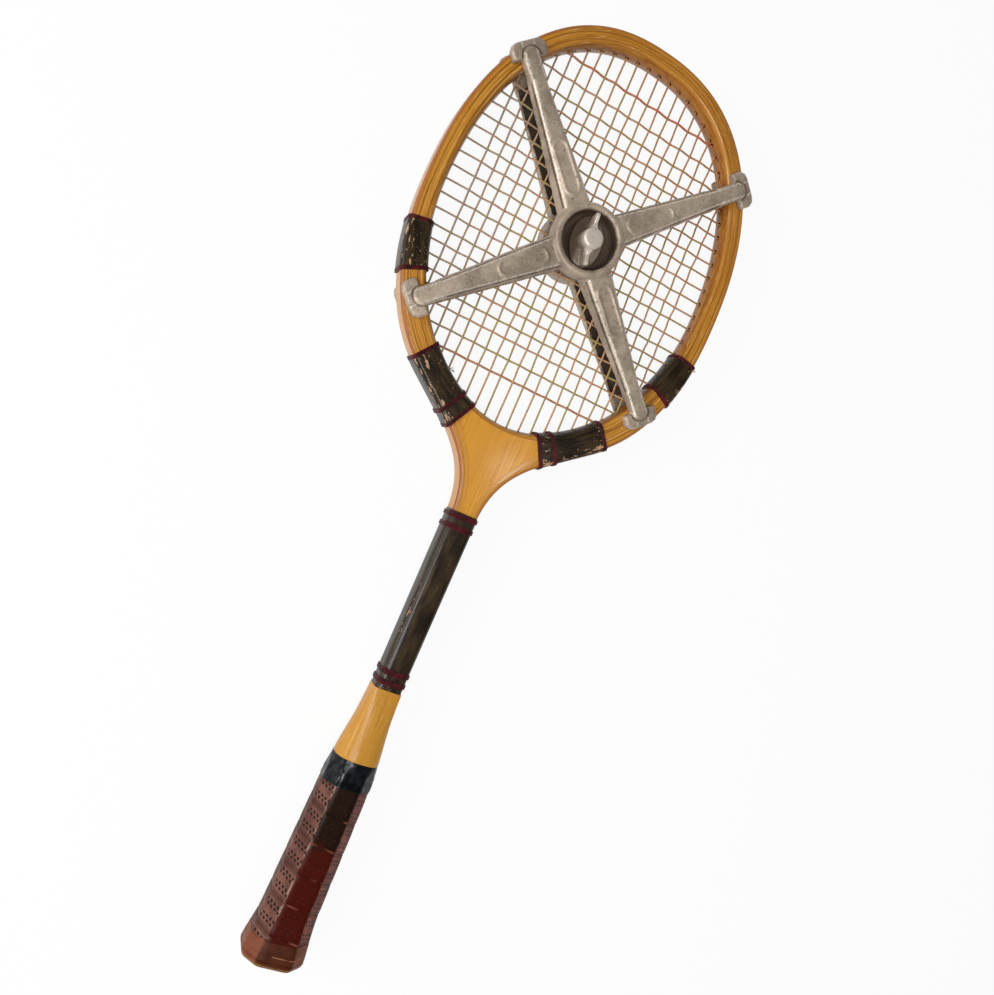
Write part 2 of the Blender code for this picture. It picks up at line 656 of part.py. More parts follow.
def shaft_section(x, grow):
    """Outline round the shaft, grown outwards by a distance."""
    half_width = shaft_edge(0.0, x)
    if x > SHAFT_TOP:
        half_width = max(half_width, leg(0.0, 1 - (x - SHAFT_TOP) / LEG_PULL_SHAFT / 3)[1])
    half = SHAFT_HALF_THICKNESS + max(0.0, x - SHAFT_TOP) / (WRAP_TOP - SHAFT_TOP) * GAP / 2
    quarter = [(half_width + grow, half - OUTER_CHAMFER - 0.5 + 0.3 * grow),
               (half_width - 0.8 + 0.75 * grow, half - EDGE_CHAMFER + 0.75 * grow),
               (half_width - OUTER_CHAMFER + 0.3 * grow, half + grow)]
    corners = quarter + [(-y, z) for y, z in reversed(quarter)]
    corners += [(y, -z) for y, z in reversed(corners)]
    return [(x, y, z) for y, z in corners]


def shaft_wrap(parent):
    """Thin dark covering of the shaft, and four windings of red thread over it."""
    places = (WRAP_TOP, SHAFT_TOP, SHAFT_BOTTOM, WRAP_BOTTOM)
    outside = [shaft_section(x, WRAP_OUT) for x in places]
    inside = [shaft_section(x, GAP) for x in places]
    sleeve("shaft_wrap", outside, inside, WRAP_BLACK, parent)
    names = ("winding_throat_upper", "winding_throat_lower", "winding_handle_upper", "winding_handle_lower")
    for name, place in zip(names, WINDING_PLACES):
        points = []
        corners = len(shaft_section(place, 0.0))
        for step in range(int(WINDING_TURNS * corners) + 1):
            x = place - WINDING_PITCH * (step / corners - WINDING_TURNS / 2)
            points.append(shaft_section(x, WRAP_OUT + GAP + THREAD_DIAMETER / 2)[step % corners])
        report_least_gap(name, points, corners, THREAD_DIAMETER)
        cord(name, points, THREAD_DIAMETER, THREAD_RED, parent)


def string_reach(x_or_y, along, inset):
    """How far a string reaches before the rim: its end's X on a main, or Y on a cross."""
    half_width = OPENING_HALF_WIDTH - inset
    offset = x_or_y - WIDEST_FROM_BUTT
    towards_tip = along == "main_up" or (along == "cross" and offset > 0)
    reach = (OPENING_TIP_REACH if towards_tip else OPENING_THROAT_REACH) - inset
    power = HEAD_SQUARENESS if towards_tip else OPENING_THROAT_SQUARENESS
    if along == "cross":
        return half_width * max(0.0, 1 - abs(offset / reach) ** power) ** (1 / power)
    side = max(0.0, 1 - abs(x_or_y / half_width) ** power) ** (1 / power)
    return WIDEST_FROM_BUTT + (reach if towards_tip else -reach) * side


def string_inset(x, y):
    """Strings stop short of the bare rim, or of the whipping and thread that cover it."""
    stand = 0.0
    for zone in ("upper", "lower"):
        line = even_points(whip_lines(zone)[1], 0.0, 1.0, 61)
        near = np.flatnonzero(np.linalg.norm(line - (x, abs(y)), axis=1) < WHIP_MARGIN) / 60
        if len(near):
            stand = GAP + THREAD_BAND_THICKNESS
            on_band = (near > MIDDLE_BAND_PLACE - 0.02) & (near < MIDDLE_BAND_PLACE + 0.1)
            if zone == "lower" and on_band.any():
                stand += WHIP_OUT
    return STRING_END_GAP + stand


def string_bed(parent):
    """A flat net: crossing squares and the stretches between them, given a thickness."""
    half = STRING_THICKNESS / 2
    mains = [MAIN_SPREAD * (k / (MAIN_COUNT - 1) - 0.5) for k in range(MAIN_COUNT)]
    crosses = [PRESS_FROM_BUTT + CROSS_SPREAD * (k / (CROSS_COUNT - 1) - 0.5) for k in range(CROSS_COUNT)]
    margin = 4 * STRING_THICKNESS
    reach = [string_reach(x, "cross", string_inset(x, HEAD_HALF_WIDTH) + margin) for x in crosses]
    work = bmesh.new()
    made = {}

    def corner(x, y):
        key = (round(x, 4), round(y, 4))
        if key not in made:
            made[key] = work.verts.new((x, y, -half))
        return made[key]

    def quad(points):
        work.faces.new([corner(x, y) for x, y in points])

    for i, y in enumerate(mains):
        on_main = [x for x, limit in zip(crosses, reach) if abs(y) < limit]
        for x in on_main:
            quad([(x - half, y - half), (x + half, y - half), (x + half, y + half), (x - half, y + half)])
        for x, after in zip(on_main, on_main[1:]):
            quad([(x + half, y - half), (after - half, y - half),
                  (after - half, y + half), (x + half, y + half)])
        for along, x in (("main_down", on_main[0] - half), ("main_up", on_main[-1] + half)):
            place = string_reach(y, along, 0.0)
            inset = string_inset(place, y)
            ends = [string_reach(edge, along, inset) for edge in (y - half, y + half)]
            quad([(x, y - half), (ends[0], y - half), (ends[1], y + half), (x, y + half)])
    for x, limit in zip(crosses, reach):
        on_cross = [y for y in mains if abs(y) < limit]
        for y, after in zip(on_cross, on_cross[1:]):
            quad([(x - half, y + half), (x + half, y + half),
                  (x + half, after - half), (x - half, after - half)])
        for sign, y in ((-1, on_cross[0] - half), (1, on_cross[-1] + half)):
            inset = string_inset(x, string_reach(x, "cross", 0.0))
            ends = [sign * string_reach(edge, "cross", inset) for edge in (x - half, x + half)]
            quad([(x - half, y), (x - half, ends[0]), (x + half, ends[1]), (x + half, y)])
    grown = bmesh.ops.extrude_face_region(work, geom=list(work.faces))
    lifted = [item for item in grown["geom"] if isinstance(item, bmesh.types.BMVert)]
    bmesh.ops.translate(work, verts=lifted, vec=(0.0, 0.0, STRING_THICKNESS))
    work.verts.index_update()
    vertices = [tuple(vertex.co) for vertex in work.verts]
    faces = [[vertex.index for vertex in face.verts] for face in work.faces]
    work.free()
    piece("string_bed", vertices, faces, GUT, parent)
    return mains


def trebling_cords(mains, parent):
    """Two red cords woven over and under the mains, one near each end of the head."""
    rise = STRING_THICKNESS / 2 + GAP + CORD_DIAMETER / 2
    hold = STRING_THICKNESS / 2 + GAP
    for name, x in (("trebling_cord_lower", LOWER_CORD_FROM_BUTT),
                    ("trebling_cord_upper", UPPER_CORD_FROM_BUTT)):
        limit = string_reach(x, "cross", 0.0)
        reach = limit - string_inset(x, limit) - CORD_DIAMETER / 2
        crossed = [y for y in mains if abs(y) < reach - 2 * hold]
        points = [(x, -reach, 0.0)]
        for k, y in enumerate(crossed):
            height = rise if k % 2 else -rise
            points += [(x, y - hold, height), (x, y + hold, height)]
        points.append((x, reach, 0.0))
        cord(name, points, CORD_DIAMETER, CORD_RED, parent)


def arm_section(radius, sign):
    """Channel section of a press arm: a flat top, drafted sides, open towards the strings."""
    share = (radius - ARM_START) / (CHANNEL_END - ARM_START)
    half = ARM_ROOT_HALF_WIDTH + share * (ARM_TIP_HALF_WIDTH - ARM_ROOT_HALF_WIDTH)
    top = ARM_ROOT_TOP + share * (ARM_TIP_TOP - ARM_ROOT_TOP)
    over_rim = RIM_HALF_THICKNESS + GAP + 2 * ARM_END_RELIEF
    base = ARM_ROOT_UNDERSIDE + share * (over_rim - ARM_ROOT_UNDERSIDE)
    outer = [(half, base), (half - ARM_DRAFT, top - ARM_SHOULDER),
             (half - ARM_DRAFT - ARM_SHOULDER * 0.9, top)]
    inner = [(half - ARM_DRAFT - ARM_WALL * 0.8, top - ARM_WEB), (half - ARM_WALL, base)]
    outline = outer + [(-v, z) for v, z in reversed(outer)] + [(-v, z) for v, z in reversed(inner)] + inner
    return [(radius, v, sign * z) for v, z in outline]


def press_half(name, sign, parent):
    """One casting: a cupped hub and four channel arms with feet that rest on the rim."""
    rim = REST_LEVEL
    floor = HUB_UNDERSIDE + HUB_FLOOR
    bore = BOLT_RADIUS + GAP
    inner = HUB_RADIUS - HUB_WALL
    profile = [(bore, HUB_UNDERSIDE), (HUB_RADIUS - HUB_LIP, HUB_UNDERSIDE), (HUB_RADIUS, rim - HUB_LIP),
               (HUB_RADIUS - HUB_LIP, rim), (inner + HUB_LIP, rim), (inner, rim - HUB_LIP),
               (inner - 1.2, floor + HUB_SHOULDER + 0.6), (HUB_SEAT_RADIUS + 1.4, floor + HUB_SHOULDER),
               (HUB_SEAT_RADIUS, floor), (bore, floor)]
    hub = turned(name, [(radius, sign * height) for radius, height in profile], CAST, parent)
    helpers = []
    foot_low = RIM_HALF_THICKNESS + GAP
    for number, angle in enumerate(ARM_ANGLES, 1):
        turn = math.radians(angle + PRESS_TURN)
        channel = loft(f"{name}_channel_{number}",
                       [arm_section(ARM_START, sign), arm_section(CHANNEL_END, sign)], None, parent)
        round_half = ARM_TIP_HALF_WIDTH - 0.6 * ARM_DRAFT
        round_centre = ARM_REACH - FOOT_STEP - round_half
        outline = [(CHANNEL_END - ARM_WEB, -round_half), (round_centre, -round_half)]
        for k in range(1, ARM_END_SEGMENTS):
            sweep = math.pi * (k / ARM_END_SEGMENTS - 0.5)
            outline.append((round_centre + round_half * math.cos(sweep), round_half * math.sin(sweep)))
        outline += [(round_centre, round_half), (CHANNEL_END - ARM_WEB, round_half)]
        low, high = sorted((sign * (foot_low + ARM_END_RELIEF), sign * (ARM_TIP_TOP - 0.3)))
        end = plate(f"{name}_end_{number}", outline, low, high, None, parent)
        near = ARM_REACH - FOOT_LENGTH
        wide, corner = FOOT_HALF_WIDTH, FOOT_CORNER
        outline = [(near, -wide + 1.0), (near + 1.0, -wide), (ARM_REACH - corner, -wide),
                   (ARM_REACH, -wide + 1.4 * corner), (ARM_REACH, wide - 1.4 * corner),
                   (ARM_REACH - corner, wide), (near + 1.0, wide), (near, wide - 1.0)]
        low, high = sorted((sign * foot_low, sign * (foot_low + FOOT_THICKNESS)))
        foot = plate(f"{name}_foot_{number}", outline, low, high, None, parent)
        for helper in (channel, end, foot):
            helper.rotation_euler = (0.0, 0.0, turn)
            helpers.append(helper)
    unite(hub, helpers)
    return hub


def clamp_bolt(parent):
    """Domed head in the rear cup, and a shank through both hubs into the nut."""
    seat = -(HUB_UNDERSIDE + HUB_FLOOR) - GAP
    head = seat - BOLT_HEAD_THICKNESS
    tip = nut_base() + NUT_HEIGHT - NUT_CAP - GAP
    profile = [(0.0, head), (BOLT_HEAD_RADIUS * 0.55, head + 0.7), (BOLT_HEAD_RADIUS * 0.9, head + 2.2),
               (BOLT_HEAD_RADIUS, seat), (BOLT_RADIUS, seat), (BOLT_RADIUS, tip - 0.8),
               (BOLT_RADIUS - 0.8, tip), (0.0, tip)]
    return turned("clamp_bolt", profile, STEEL, parent, segments=20)


def washer_base():
    return HUB_UNDERSIDE + HUB_FLOOR + GAP


def nut_base():
    return washer_base() + WASHER_THICKNESS + GAP


def washer(parent):
    low, high = washer_base(), washer_base() + WASHER_THICKNESS
    bore = BOLT_RADIUS + GAP
    profile = [(bore, low), (WASHER_RADIUS, low), (WASHER_RADIUS, high), (bore, high)]
    return turned("nut_washer", profile, STEEL, parent, segments=24)


def wing_nut(parent):
    """Capped boss on an oblong flange, with two upright wings."""
    base = nut_base()
    top = base + NUT_HEIGHT
    bore = BOLT_RADIUS + GAP
    profile = [(bore, base), (BOSS_RADIUS, base), (BOSS_RADIUS - 0.3, top - BOSS_DOME),
               (BOSS_RADIUS - 1.6, top - 0.5), (0.0, top)]
    profile = [(0.0, top - NUT_CAP), (bore, top - NUT_CAP)] + profile
    boss = turned("wing_nut", profile, CAST, parent, segments=24)
    helpers = []
    rows = []
    steps = 36
    for k in range(steps):
        angle = 2 * math.pi * k / steps
        edge = min(FLANGE_RADIUS, FLANGE_HALF_WIDTH / max(1e-6, abs(math.sin(angle))))
        hole = (bore + BOSS_RADIUS) / 2
        upper = base + FLANGE_THICKNESS
        rows.append([(r * math.cos(angle), r * math.sin(angle), z) for r, z in
                     ((hole, base), (edge, base), (edge, upper), (hole, upper))])
    helpers.append(loft("nut_flange", rows, None, parent, closed=True))
    floor = base + FLANGE_THICKNESS - 0.5
    root = (bore + BOSS_RADIUS) / 2
    wing = [(root, floor), (WING_RADIUS - 2.4, floor), (WING_RADIUS - 0.6, base + WING_HEIGHT * 0.5),
            (WING_RADIUS, base + WING_HEIGHT - 0.45 * WING_TIP_WIDTH),
            (WING_RADIUS - 0.36 * WING_TIP_WIDTH, base + WING_HEIGHT),
            (WING_RADIUS - WING_TIP_WIDTH, base + WING_HEIGHT - 0.18 * WING_TIP_WIDTH),
            (BOSS_RADIUS + WING_SLOPE, base + WING_HEIGHT * 0.66),
            (root, base + WING_HEIGHT * 0.72)]
    for label, sign in (("front", 1), ("back", -1)):
        half = WING_THICKNESS / 2
        sections = [[(sign * r, v, z) for r, z in wing] for v in (-half, half)]
        helpers.append(loft(f"nut_wing_{label}", sections, None, parent))
    for helper in helpers:
        helper.rotation_euler = (0.0, 0.0, math.radians(NUT_TURN))
    unite(boss, helpers)
    return boss


def main():
    for old in list(bpy.data.objects):
        bpy.data.objects.remove(old)
    racket = guide("racket_frame", 0.0)
    press = guide("press_frame", PRESS_FROM_BUTT)

    ply("outer_ply", 0.0, outer_ply_profile, racket)
    ply("middle_ply", PLY + PLY_GAP, square_profile, racket)
    inner_ring(racket)
    _, wedge_bottom = throat_wedge(racket)
    shaft_core(wedge_bottom, racket)
    handle_blocks(racket)
    butt_cap(racket)
    grip_strap(racket)
    collar_tape(racket)
    whippings(racket)
    shaft_wrap(racket)
    mains = string_bed(racket)
    trebling_cords(mains, racket)

    press_half("press_front", 1, press)
    press_half("press_rear", -1, press)
    clamp_bolt(press)
    washer(press)
    wing_nut(press)


main()
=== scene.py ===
"""A laminated wooden tennis racket in an X-shaped cast press: surfaces, finishes, light and camera.

X runs from the butt to the tip, Z is up and the strings lie in the plane Z = 0.
Sizes are in millimetres and degrees, and meshes are made in metres.
"""

import math

import bmesh
import bpy
import numpy as np
from mathutils import Matrix, Vector


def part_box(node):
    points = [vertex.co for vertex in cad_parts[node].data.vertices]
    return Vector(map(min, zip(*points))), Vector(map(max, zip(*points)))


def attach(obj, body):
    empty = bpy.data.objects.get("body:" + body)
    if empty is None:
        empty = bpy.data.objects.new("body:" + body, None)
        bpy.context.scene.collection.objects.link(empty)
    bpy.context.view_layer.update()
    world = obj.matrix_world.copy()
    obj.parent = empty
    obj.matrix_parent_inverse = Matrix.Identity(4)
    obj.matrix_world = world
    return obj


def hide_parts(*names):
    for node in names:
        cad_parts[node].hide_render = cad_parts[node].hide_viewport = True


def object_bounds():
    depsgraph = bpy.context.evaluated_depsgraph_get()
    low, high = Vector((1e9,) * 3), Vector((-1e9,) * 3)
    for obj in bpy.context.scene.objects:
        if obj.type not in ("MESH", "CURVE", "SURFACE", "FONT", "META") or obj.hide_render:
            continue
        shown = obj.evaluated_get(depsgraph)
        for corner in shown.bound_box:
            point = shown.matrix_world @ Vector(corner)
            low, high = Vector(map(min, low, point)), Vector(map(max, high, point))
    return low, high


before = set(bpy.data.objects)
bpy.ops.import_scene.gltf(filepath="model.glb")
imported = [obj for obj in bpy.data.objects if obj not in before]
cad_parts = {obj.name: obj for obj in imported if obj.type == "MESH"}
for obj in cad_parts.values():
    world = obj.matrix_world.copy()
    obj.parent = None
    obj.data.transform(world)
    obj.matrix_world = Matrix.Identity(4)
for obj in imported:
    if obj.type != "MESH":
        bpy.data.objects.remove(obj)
cad_low, cad_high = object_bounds()

MM = 0.001
FIT = 0.05                                 # play between a piece and what it wraps
QUARTER = math.pi / 2
HALF_TURN = np.linspace(-QUARTER, QUARTER, 13)

# Head: two ovals, measured from the head's widest place
LENGTH = 682.0
HEAD_HALF_WIDTH = 117.3
HEAD_TIP_REACH = 155.0
HEAD_THROAT_REACH = 141.8
HEAD_SQUARENESS = 2.28
OPENING_THROAT_SQUARENESS = 1.93
RIM_WIDTH = 14.1
RIM_TIP_WIDTH = 13.5
RIM_THROAT_WIDTH = 10.9
RIM_HALF = 9.5
WIDEST = LENGTH - HEAD_TIP_REACH
OPENING_HALF_WIDTH = HEAD_HALF_WIDTH - RIM_WIDTH
OPENING_TIP_REACH = HEAD_TIP_REACH - RIM_TIP_WIDTH
OPENING_THROAT_REACH = HEAD_THROAT_REACH - RIM_THROAT_WIDTH
PLY_EDGES = (0.0, 1 / 3, 2 / 3, 1.0)       # shares of the rim's width
EDGE_ROUND = (2.0, 2.5)                    # the rim's outer edge: across, down
NOSE = 4.6                                 # how far in the rounding of the opening's edge starts
GLUE_LINE = (0.16, 0.13)                   # the small furrow between plies: half its width, its depth
RING_START = 158.0                         # where the inner ply's grain map starts
RING_STEPS = 720

# Bow's legs and the shaft
BOW_TURN = 149.7
LEG_PULL_HEAD = 44.3
LEG_PULL_SHAFT = 41.0
SHAFT_TOP = WIDEST - 202.0
SHAFT_BOTTOM = 204.0
SHAFT_HALF_WIDTH = 9.5
SHAFT_TAPER = 0.5
SHAFT_HALF = 9.0
SHAFT_PLY_EDGES = (9.5, 6.85, 3.6)         # outer edges of the three plies on the shaft
BOARD_END = 6.0
WEDGE_LENGTH = 90.0
WEDGE_TURN = 0.27                          # share of a leg that faces the ring

# Handle: place from the butt, half width, half depth, bevel
HANDLE = ((6.0, 19.9, 17.9, 9.2), (20.0, 18.4, 15.1, 8.4), (32.0, 17.2, 13.9, 8.2),
          (118.0, 15.5, 13.1, 8.0), (137.0, 15.0, 12.8, 7.9), (146.5, 15.9, 14.1, 7.4),
          (174.0, 12.2, 11.6, 4.5), (198.0, 10.1, 9.9, 1.3))
HANDLE_COLUMNS = 112
AROUND = np.arange(HANDLE_COLUMNS) / HANDLE_COLUMNS
BEVEL_GROWTH = 2 - math.sqrt(2)            # growth of an octagon's bevel with its sides
COLLAR = (128.0, 146.5)
CONE_SWELL = ((COLLAR[1] - 3, COLLAR[1] + 8, 175.0, 190.0), (0.75, 0.75, 0.4, 0.1))   # places, growth
CONE_CORNER = 0.5                          # rounding of its corners, as a share of a side
GRIP_CORNER = 0.13
BORE_BEVEL = 0.2
BORE_CORNER = 0.02
STRAP_PITCH = 21.7
STRAP_SEAM = 0.05
STRAP_OUT = 2.1
STRAP_TOP = 136.0
STRAP_START = 14 / 16
STRAP_TURN_LENGTH = 104.0
STRAP_STEPS = HANDLE_COLUMNS               # steps of a turn
STRAP_END_WIDTH = 0.6                      # how narrow the strap gets where its ends are cut square
# Half of the strap's section: share of its width, height above the wood
STRAP_EDGE = ((0.0, 1.5), (0.004, 1.72), (0.012, 1.84), (0.024, 1.9), (0.04, 1.94), (0.08, 1.99),
              (0.14, 2.04), (0.22, 2.08), (0.3, STRAP_OUT), (0.4, STRAP_OUT), (0.5, STRAP_OUT))
STRAP_UNDER = (0.85, 0.5, 0.15)            # shares of its width on the wood's side
COLLAR_STEP = ((STRAP_TOP - 2.5, STRAP_TOP + 0.5, COLLAR[1] - 1.5, COLLAR[1]), (2.2, 1.9, 0.85, 0.6))
COLLAR_TAPE = 0.25
COLLAR_RIPPLE = 0.04
BUTT_CAP_THICKNESS = 5.7
BUTT_CAP_HALF = (22.0, 20.0)
BUTT_CAP_ROUND = 4.4
BUTT_SKIN_END = 18.0
SKIN_SINK = 0.35                           # how far the strap is pressed in under the skin
BUTT_SKIN = ((6.0, 9.0, BUTT_SKIN_END, BUTT_SKIN_END + 0.3), (2.08, 2.2, 2.2, 1.9))   # places, growth

# Whippings, threads and the wrapped shaft
UPPER_WHIP_OUTER = (105.6, 122.4)
UPPER_WHIP_INNER = (106.3, 123.6)
LOWER_WHIP_OUTER = (146.0, 0.38)
LOWER_WHIP_INNER = (146.6, 169.3)
WHIP_OUT = 1.2                             # outer and inner side of the lacquer, above the wood
WHIP_BASE = 0.02
WHIP_GIRTH = 46.0                          # way round the rim in the whippings' map
WHIP_NUMBERS = {"upper": 1.0, "lower": 2.0, "shaft": 5.0}
BAND_WIDTH = 3.0
BAND_THREADS = 4
BAND_RIDGE = (1.05, 0.5)                   # height of a band between its threads, and theirs above it
MIDDLE_BAND_PLACE = 0.74
MIDDLE_BAND_LIFT = 0.65
WRAP_ENDS = (198.3, 329.0)
WRAP_OUT = 1.0
WRAP_COLUMNS = 96
WRAP_GIRTH = 74.0
WRAP_BEVEL = 2.6
WRAP_CORNER = 0.3
WINDINGS = {"winding_throat_upper": 326.2, "winding_throat_lower": 318.3,
            "winding_handle_upper": 210.4, "winding_handle_lower": 203.3}
THREAD = 1.05
WINDING_TURNS = 3.25
LOOSE_ENDS = ((415.5, 49.6, 0.5), (491.8, -115.4, 6.5))
LOOSE_STRANDS = 4
LOOSE_HEADING = -65.0
LOOSE_LENGTH = 3.8
LOOSE_RADIUS = 0.24

# Strings
STRING_RADIUS = 0.7
WEAVE = 0.62
MAIN_COUNT = 20
MAIN_SPACING = 9.06
CROSSES = (427.0, 439.3, 451.5, 460.9, 470.2, 479.6, 489.1, 498.6, 509.3, 520.0, 529.6, 539.9, 550.4, 560.5,
           570.4, 580.3, 590.3, 599.6, 608.7, 619.0, 631.6, 646.6)
CORD_RADIUS = 0.8
CORD_WEAVE = 0.85
STRING_OVERRUN = 2.5                       # length of a string inside the wood
SWAY = 0.18
HOLE_RADIUS = 1.55
HOLE_HEIGHT = 0.6
HOLE_REACH = (4.0, 6.0)                    # start outside the opening's edge, length of the drill

# Press, as heights above the strings
PRESS_AT = float(np.mean([corner[0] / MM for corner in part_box("clamp_bolt")]))
PRESS_TURN = -0.8
ARM_ANGLES = (45.0, 135.0, 225.0, 315.0)
ARM_START = 20.6
CHANNEL_END = 111.0
ARM_REACH = 134.8
ARM_HALF = (12.2, 7.2)
ARM_TOP = (17.4, 16.8)
ARM_UNDERSIDE = (5.0, 10.8)
ARM_DRAFT = 1.6
ARM_FILLET = 3.4
ARM_WALL = 2.6
ARM_WEB = 3.0
END_HALF = ARM_HALF[1] - 1.0               # radius of an arm's round end
END_CENTRE = ARM_REACH - 4.0 - END_HALF
END_BASE = 10.3
CARTOUCHE = (37.0, 63.0, 5.2)              # a bare raised outline: its two ends' centres, its radius
CARTOUCHE_SINK = 0.1
FOOT_LENGTH = 11.5
FOOT_HALF = 12.9
FOOT = (9.8, 15.8)
FOOT_CORNER = 4.2
HUB_RADIUS = 25.6
HUB_WALL = 5.4
HUB_FLOOR = (4.0, 8.0)
HUB_TOP = 20.0
HUB_LIP = 2.3                              # height of the lip's half oval
CAST_VOXEL = 0.68
CAST_SMOOTHING = 3
BOLT_RADIUS = 3.1
BOLT_HEAD = (8.5, 4.2)                     # radius and height of its dome
BOLT_TIP = 0.8
NUT_BASE = 10.1
NUT_TOP = 26.5
NUT_TURN = 10.0
NUT_VOXEL = 0.36
NUT_BOSS = 7.5
NUT_ROUND = 2.6
NUT_BORE = 3.4
NUT_FLANGE = (18.2, 12.2)                  # half length and half width
WING_THICK = (3.4, 1.25)
WING_TOP = NUT_BASE + 13.8
WING = ((5.0, NUT_BASE + 2.5), (16.0, NUT_BASE + 2.5), (17.8, NUT_BASE + 6.9), (18.4, WING_TOP - 2.0),
        (17.9, WING_TOP - 0.6), (16.8, WING_TOP), (14.9, WING_TOP - 0.3), (13.6, WING_TOP - 0.9),
        (11.0, WING_TOP - 1.5), (8.4, WING_TOP - 0.6), (5.0, WING_TOP + 1.2))

# Camera, in metres, and lamps: place, aim, size and power
PHOTO_SIZE = (994, 995)
FOCAL_PIXELS = 900.0
CAMERA_PLACE = (0.326845, 0.181324, 0.599016)
CAMERA_RIGHT = (0.39877638, -0.86522145, 0.30392308)
CAMERA_DOWN = (-0.91638181, -0.38859838, 0.09610249)
LAMPS = {"window_left": ((0.15, 1.35, 0.95), (0.3, 0.0, 0.0), 0.7, 11.0),
         "card_left": ((-0.3, 1.5, 0.4), (0.2, 0.0, 0.0), 1.3, 5.0),
         "over_shoulder": ((-0.1, 0.35, 1.7), (0.3, 0.0, 0.0), 0.6, 18.0),
         "gleam": ((0.47, -0.58, 1.7), (0.37, -0.02, 0.0), 0.08, 0.7)}
FLOOR_HALF = 6.0
FLOOR_GLOW = 0.9
WHITE = (1.0, 1.0, 1.0, 1.0)
SKY = {"From Min": 0.05, "From Max": 0.6, "To Min": 1.0, "To Max": 0.12}   # strength by height


# Numbers and points

def lerp(first, second, share):
    return first + (second - first) * share


def ramp(values, low, high):
    """0 at low and 1 at high, and straight between."""
    return np.clip((values - low) / (high - low), 0.0, 1.0)


def join(*parts, axis=0):
    return np.concatenate(parts, axis)


def vectors(*coordinates):
    """Vectors from an array or a number for each coordinate."""
    return np.stack(np.broadcast_arrays(*coordinates), -1)


def unit(vector):
    return vector / np.linalg.norm(vector, axis=-1, keepdims=True)


def lengths(points):
    """Distance along a line of points, from its first one."""
    return join([0.0], np.cumsum(np.linalg.norm(np.diff(points, axis=0), axis=1)))


def again(grid, axis=1):
    """A grid with its first row or column once more at its end."""
    return join(grid, grid.take([0], axis), axis=axis)


# Meshes

def sheet(points, wrap=(False, True), caps=True, **maps):
    """Quads over a grid of points: rows run along the piece and columns round it.
    Rows that don't join up end in flat caps. A map has a value for each grid point, and where the
    grid joins up also for the row or column after the last."""
    rows, columns = points.shape[:2]
    row, column = np.indices((rows - (not wrap[0]), columns - (not wrap[1])))
    at_row = np.stack([row, row, row + 1, row + 1], -1).reshape(-1, 4)
    at_column = np.stack([column, column + 1, column + 1, column], -1).reshape(-1, 4)
    faces = (at_row % rows * columns + at_column % columns).tolist()
    corners = {key: [values[at_row, at_column].reshape(-1, 3)] for key, values in maps.items()}
    if caps and not wrap[0]:
        faces += [list(range(columns)), list(range((rows - 1) * columns, rows * columns))]
        for key, values in maps.items():
            corners[key] += [values[0, :columns], values[-1, :columns]]
    return points.reshape(-1, 3), faces, {key: join(*parts) for key, parts in corners.items()}


def sleeve(outside, inside, **maps):
    """A tube with a wall: the outer grid, then the inner one backwards, joined in a ring."""
    doubled = {key: join(values, values[::-1], values[:1]) for key, values in maps.items()}
    return sheet(join(outside, inside[::-1]), (True, True), **doubled)


def tube(path, radius, reference, sides=8):
    """A round tube: each ring stands square to the path, turned by a reference direction.
    Its map holds the length along it and the way round it."""
    tangent = unit(np.gradient(path, axis=0))
    side = unit(np.cross(tangent, reference))
    up = np.cross(side, tangent)
    turn = np.arange(sides + 1) * 2 * math.pi / sides
    ring = side[:, None] * np.cos(turn)[:, None] + up[:, None] * np.sin(turn)[:, None]
    return path[:, None] + ring[:, :-1] * radius, vectors(lengths(path)[:, None], turn, 0.0)


def turned(profile, segments=96):
    """A profile of (radius, height) points turned about Z."""
    radius, height = np.asarray(profile, float).T[..., None]
    radius = np.maximum(radius, 1e-4)
    turn = np.arange(segments) * 2 * math.pi / segments
    return vectors(radius * np.cos(turn), radius * np.sin(turn), height)


def settle(work, mesh, sharp=35.0):
    """Put an edited mesh back with its faces turned outwards, smooth up to an angle."""
    bmesh.ops.recalc_face_normals(work, faces=work.faces)
    work.to_mesh(mesh)
    work.free()
    mesh.shade_smooth()
    mesh.set_sharp_from_angle(angle=math.radians(sharp))


def make_object(name, sheets, sharp=35.0):
    """One object from several sheets, in metres."""
    shifts = np.cumsum([0] + [len(part[0]) for part in sheets[:-1]]).tolist()
    faces = [[corner + shift for corner in face] for part, shift in zip(sheets, shifts) for face in part[1]]
    mesh = bpy.data.meshes.new(name)
    mesh.from_pydata((join(*(part[0] for part in sheets)) * MM).tolist(), [], faces)
    for key in sheets[0][2]:
        values = join(*(part[2][key] for part in sheets))
        mesh.attributes.new(key, 'FLOAT_VECTOR', 'CORNER').data.foreach_set("vector", values.ravel())
    work = bmesh.new()
    work.from_mesh(mesh)
    bmesh.ops.remove_doubles(work, verts=work.verts, dist=1e-6)
    settle(work, mesh, sharp)
    new = bpy.data.objects.new(name, mesh)
    bpy.context.scene.collection.objects.link(new)
    return new


def apply_modifiers(piece):
    """Keep the mesh that the modifiers make, and drop them."""
    bpy.context.view_layer.update()
    evaluated = piece.evaluated_get(bpy.context.evaluated_depsgraph_get())
    piece.data = bpy.data.meshes.new_from_object(evaluated)
    piece.modifiers.clear()


def dress(piece, finish, slot, *nodes, body="racket"):
    """Give a piece its finish and its body, and let it stand for solids of the frame."""
    piece.data.materials.append(finish)
    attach(piece, body)
    if nodes:
        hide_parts(*nodes)


# Shader expressions

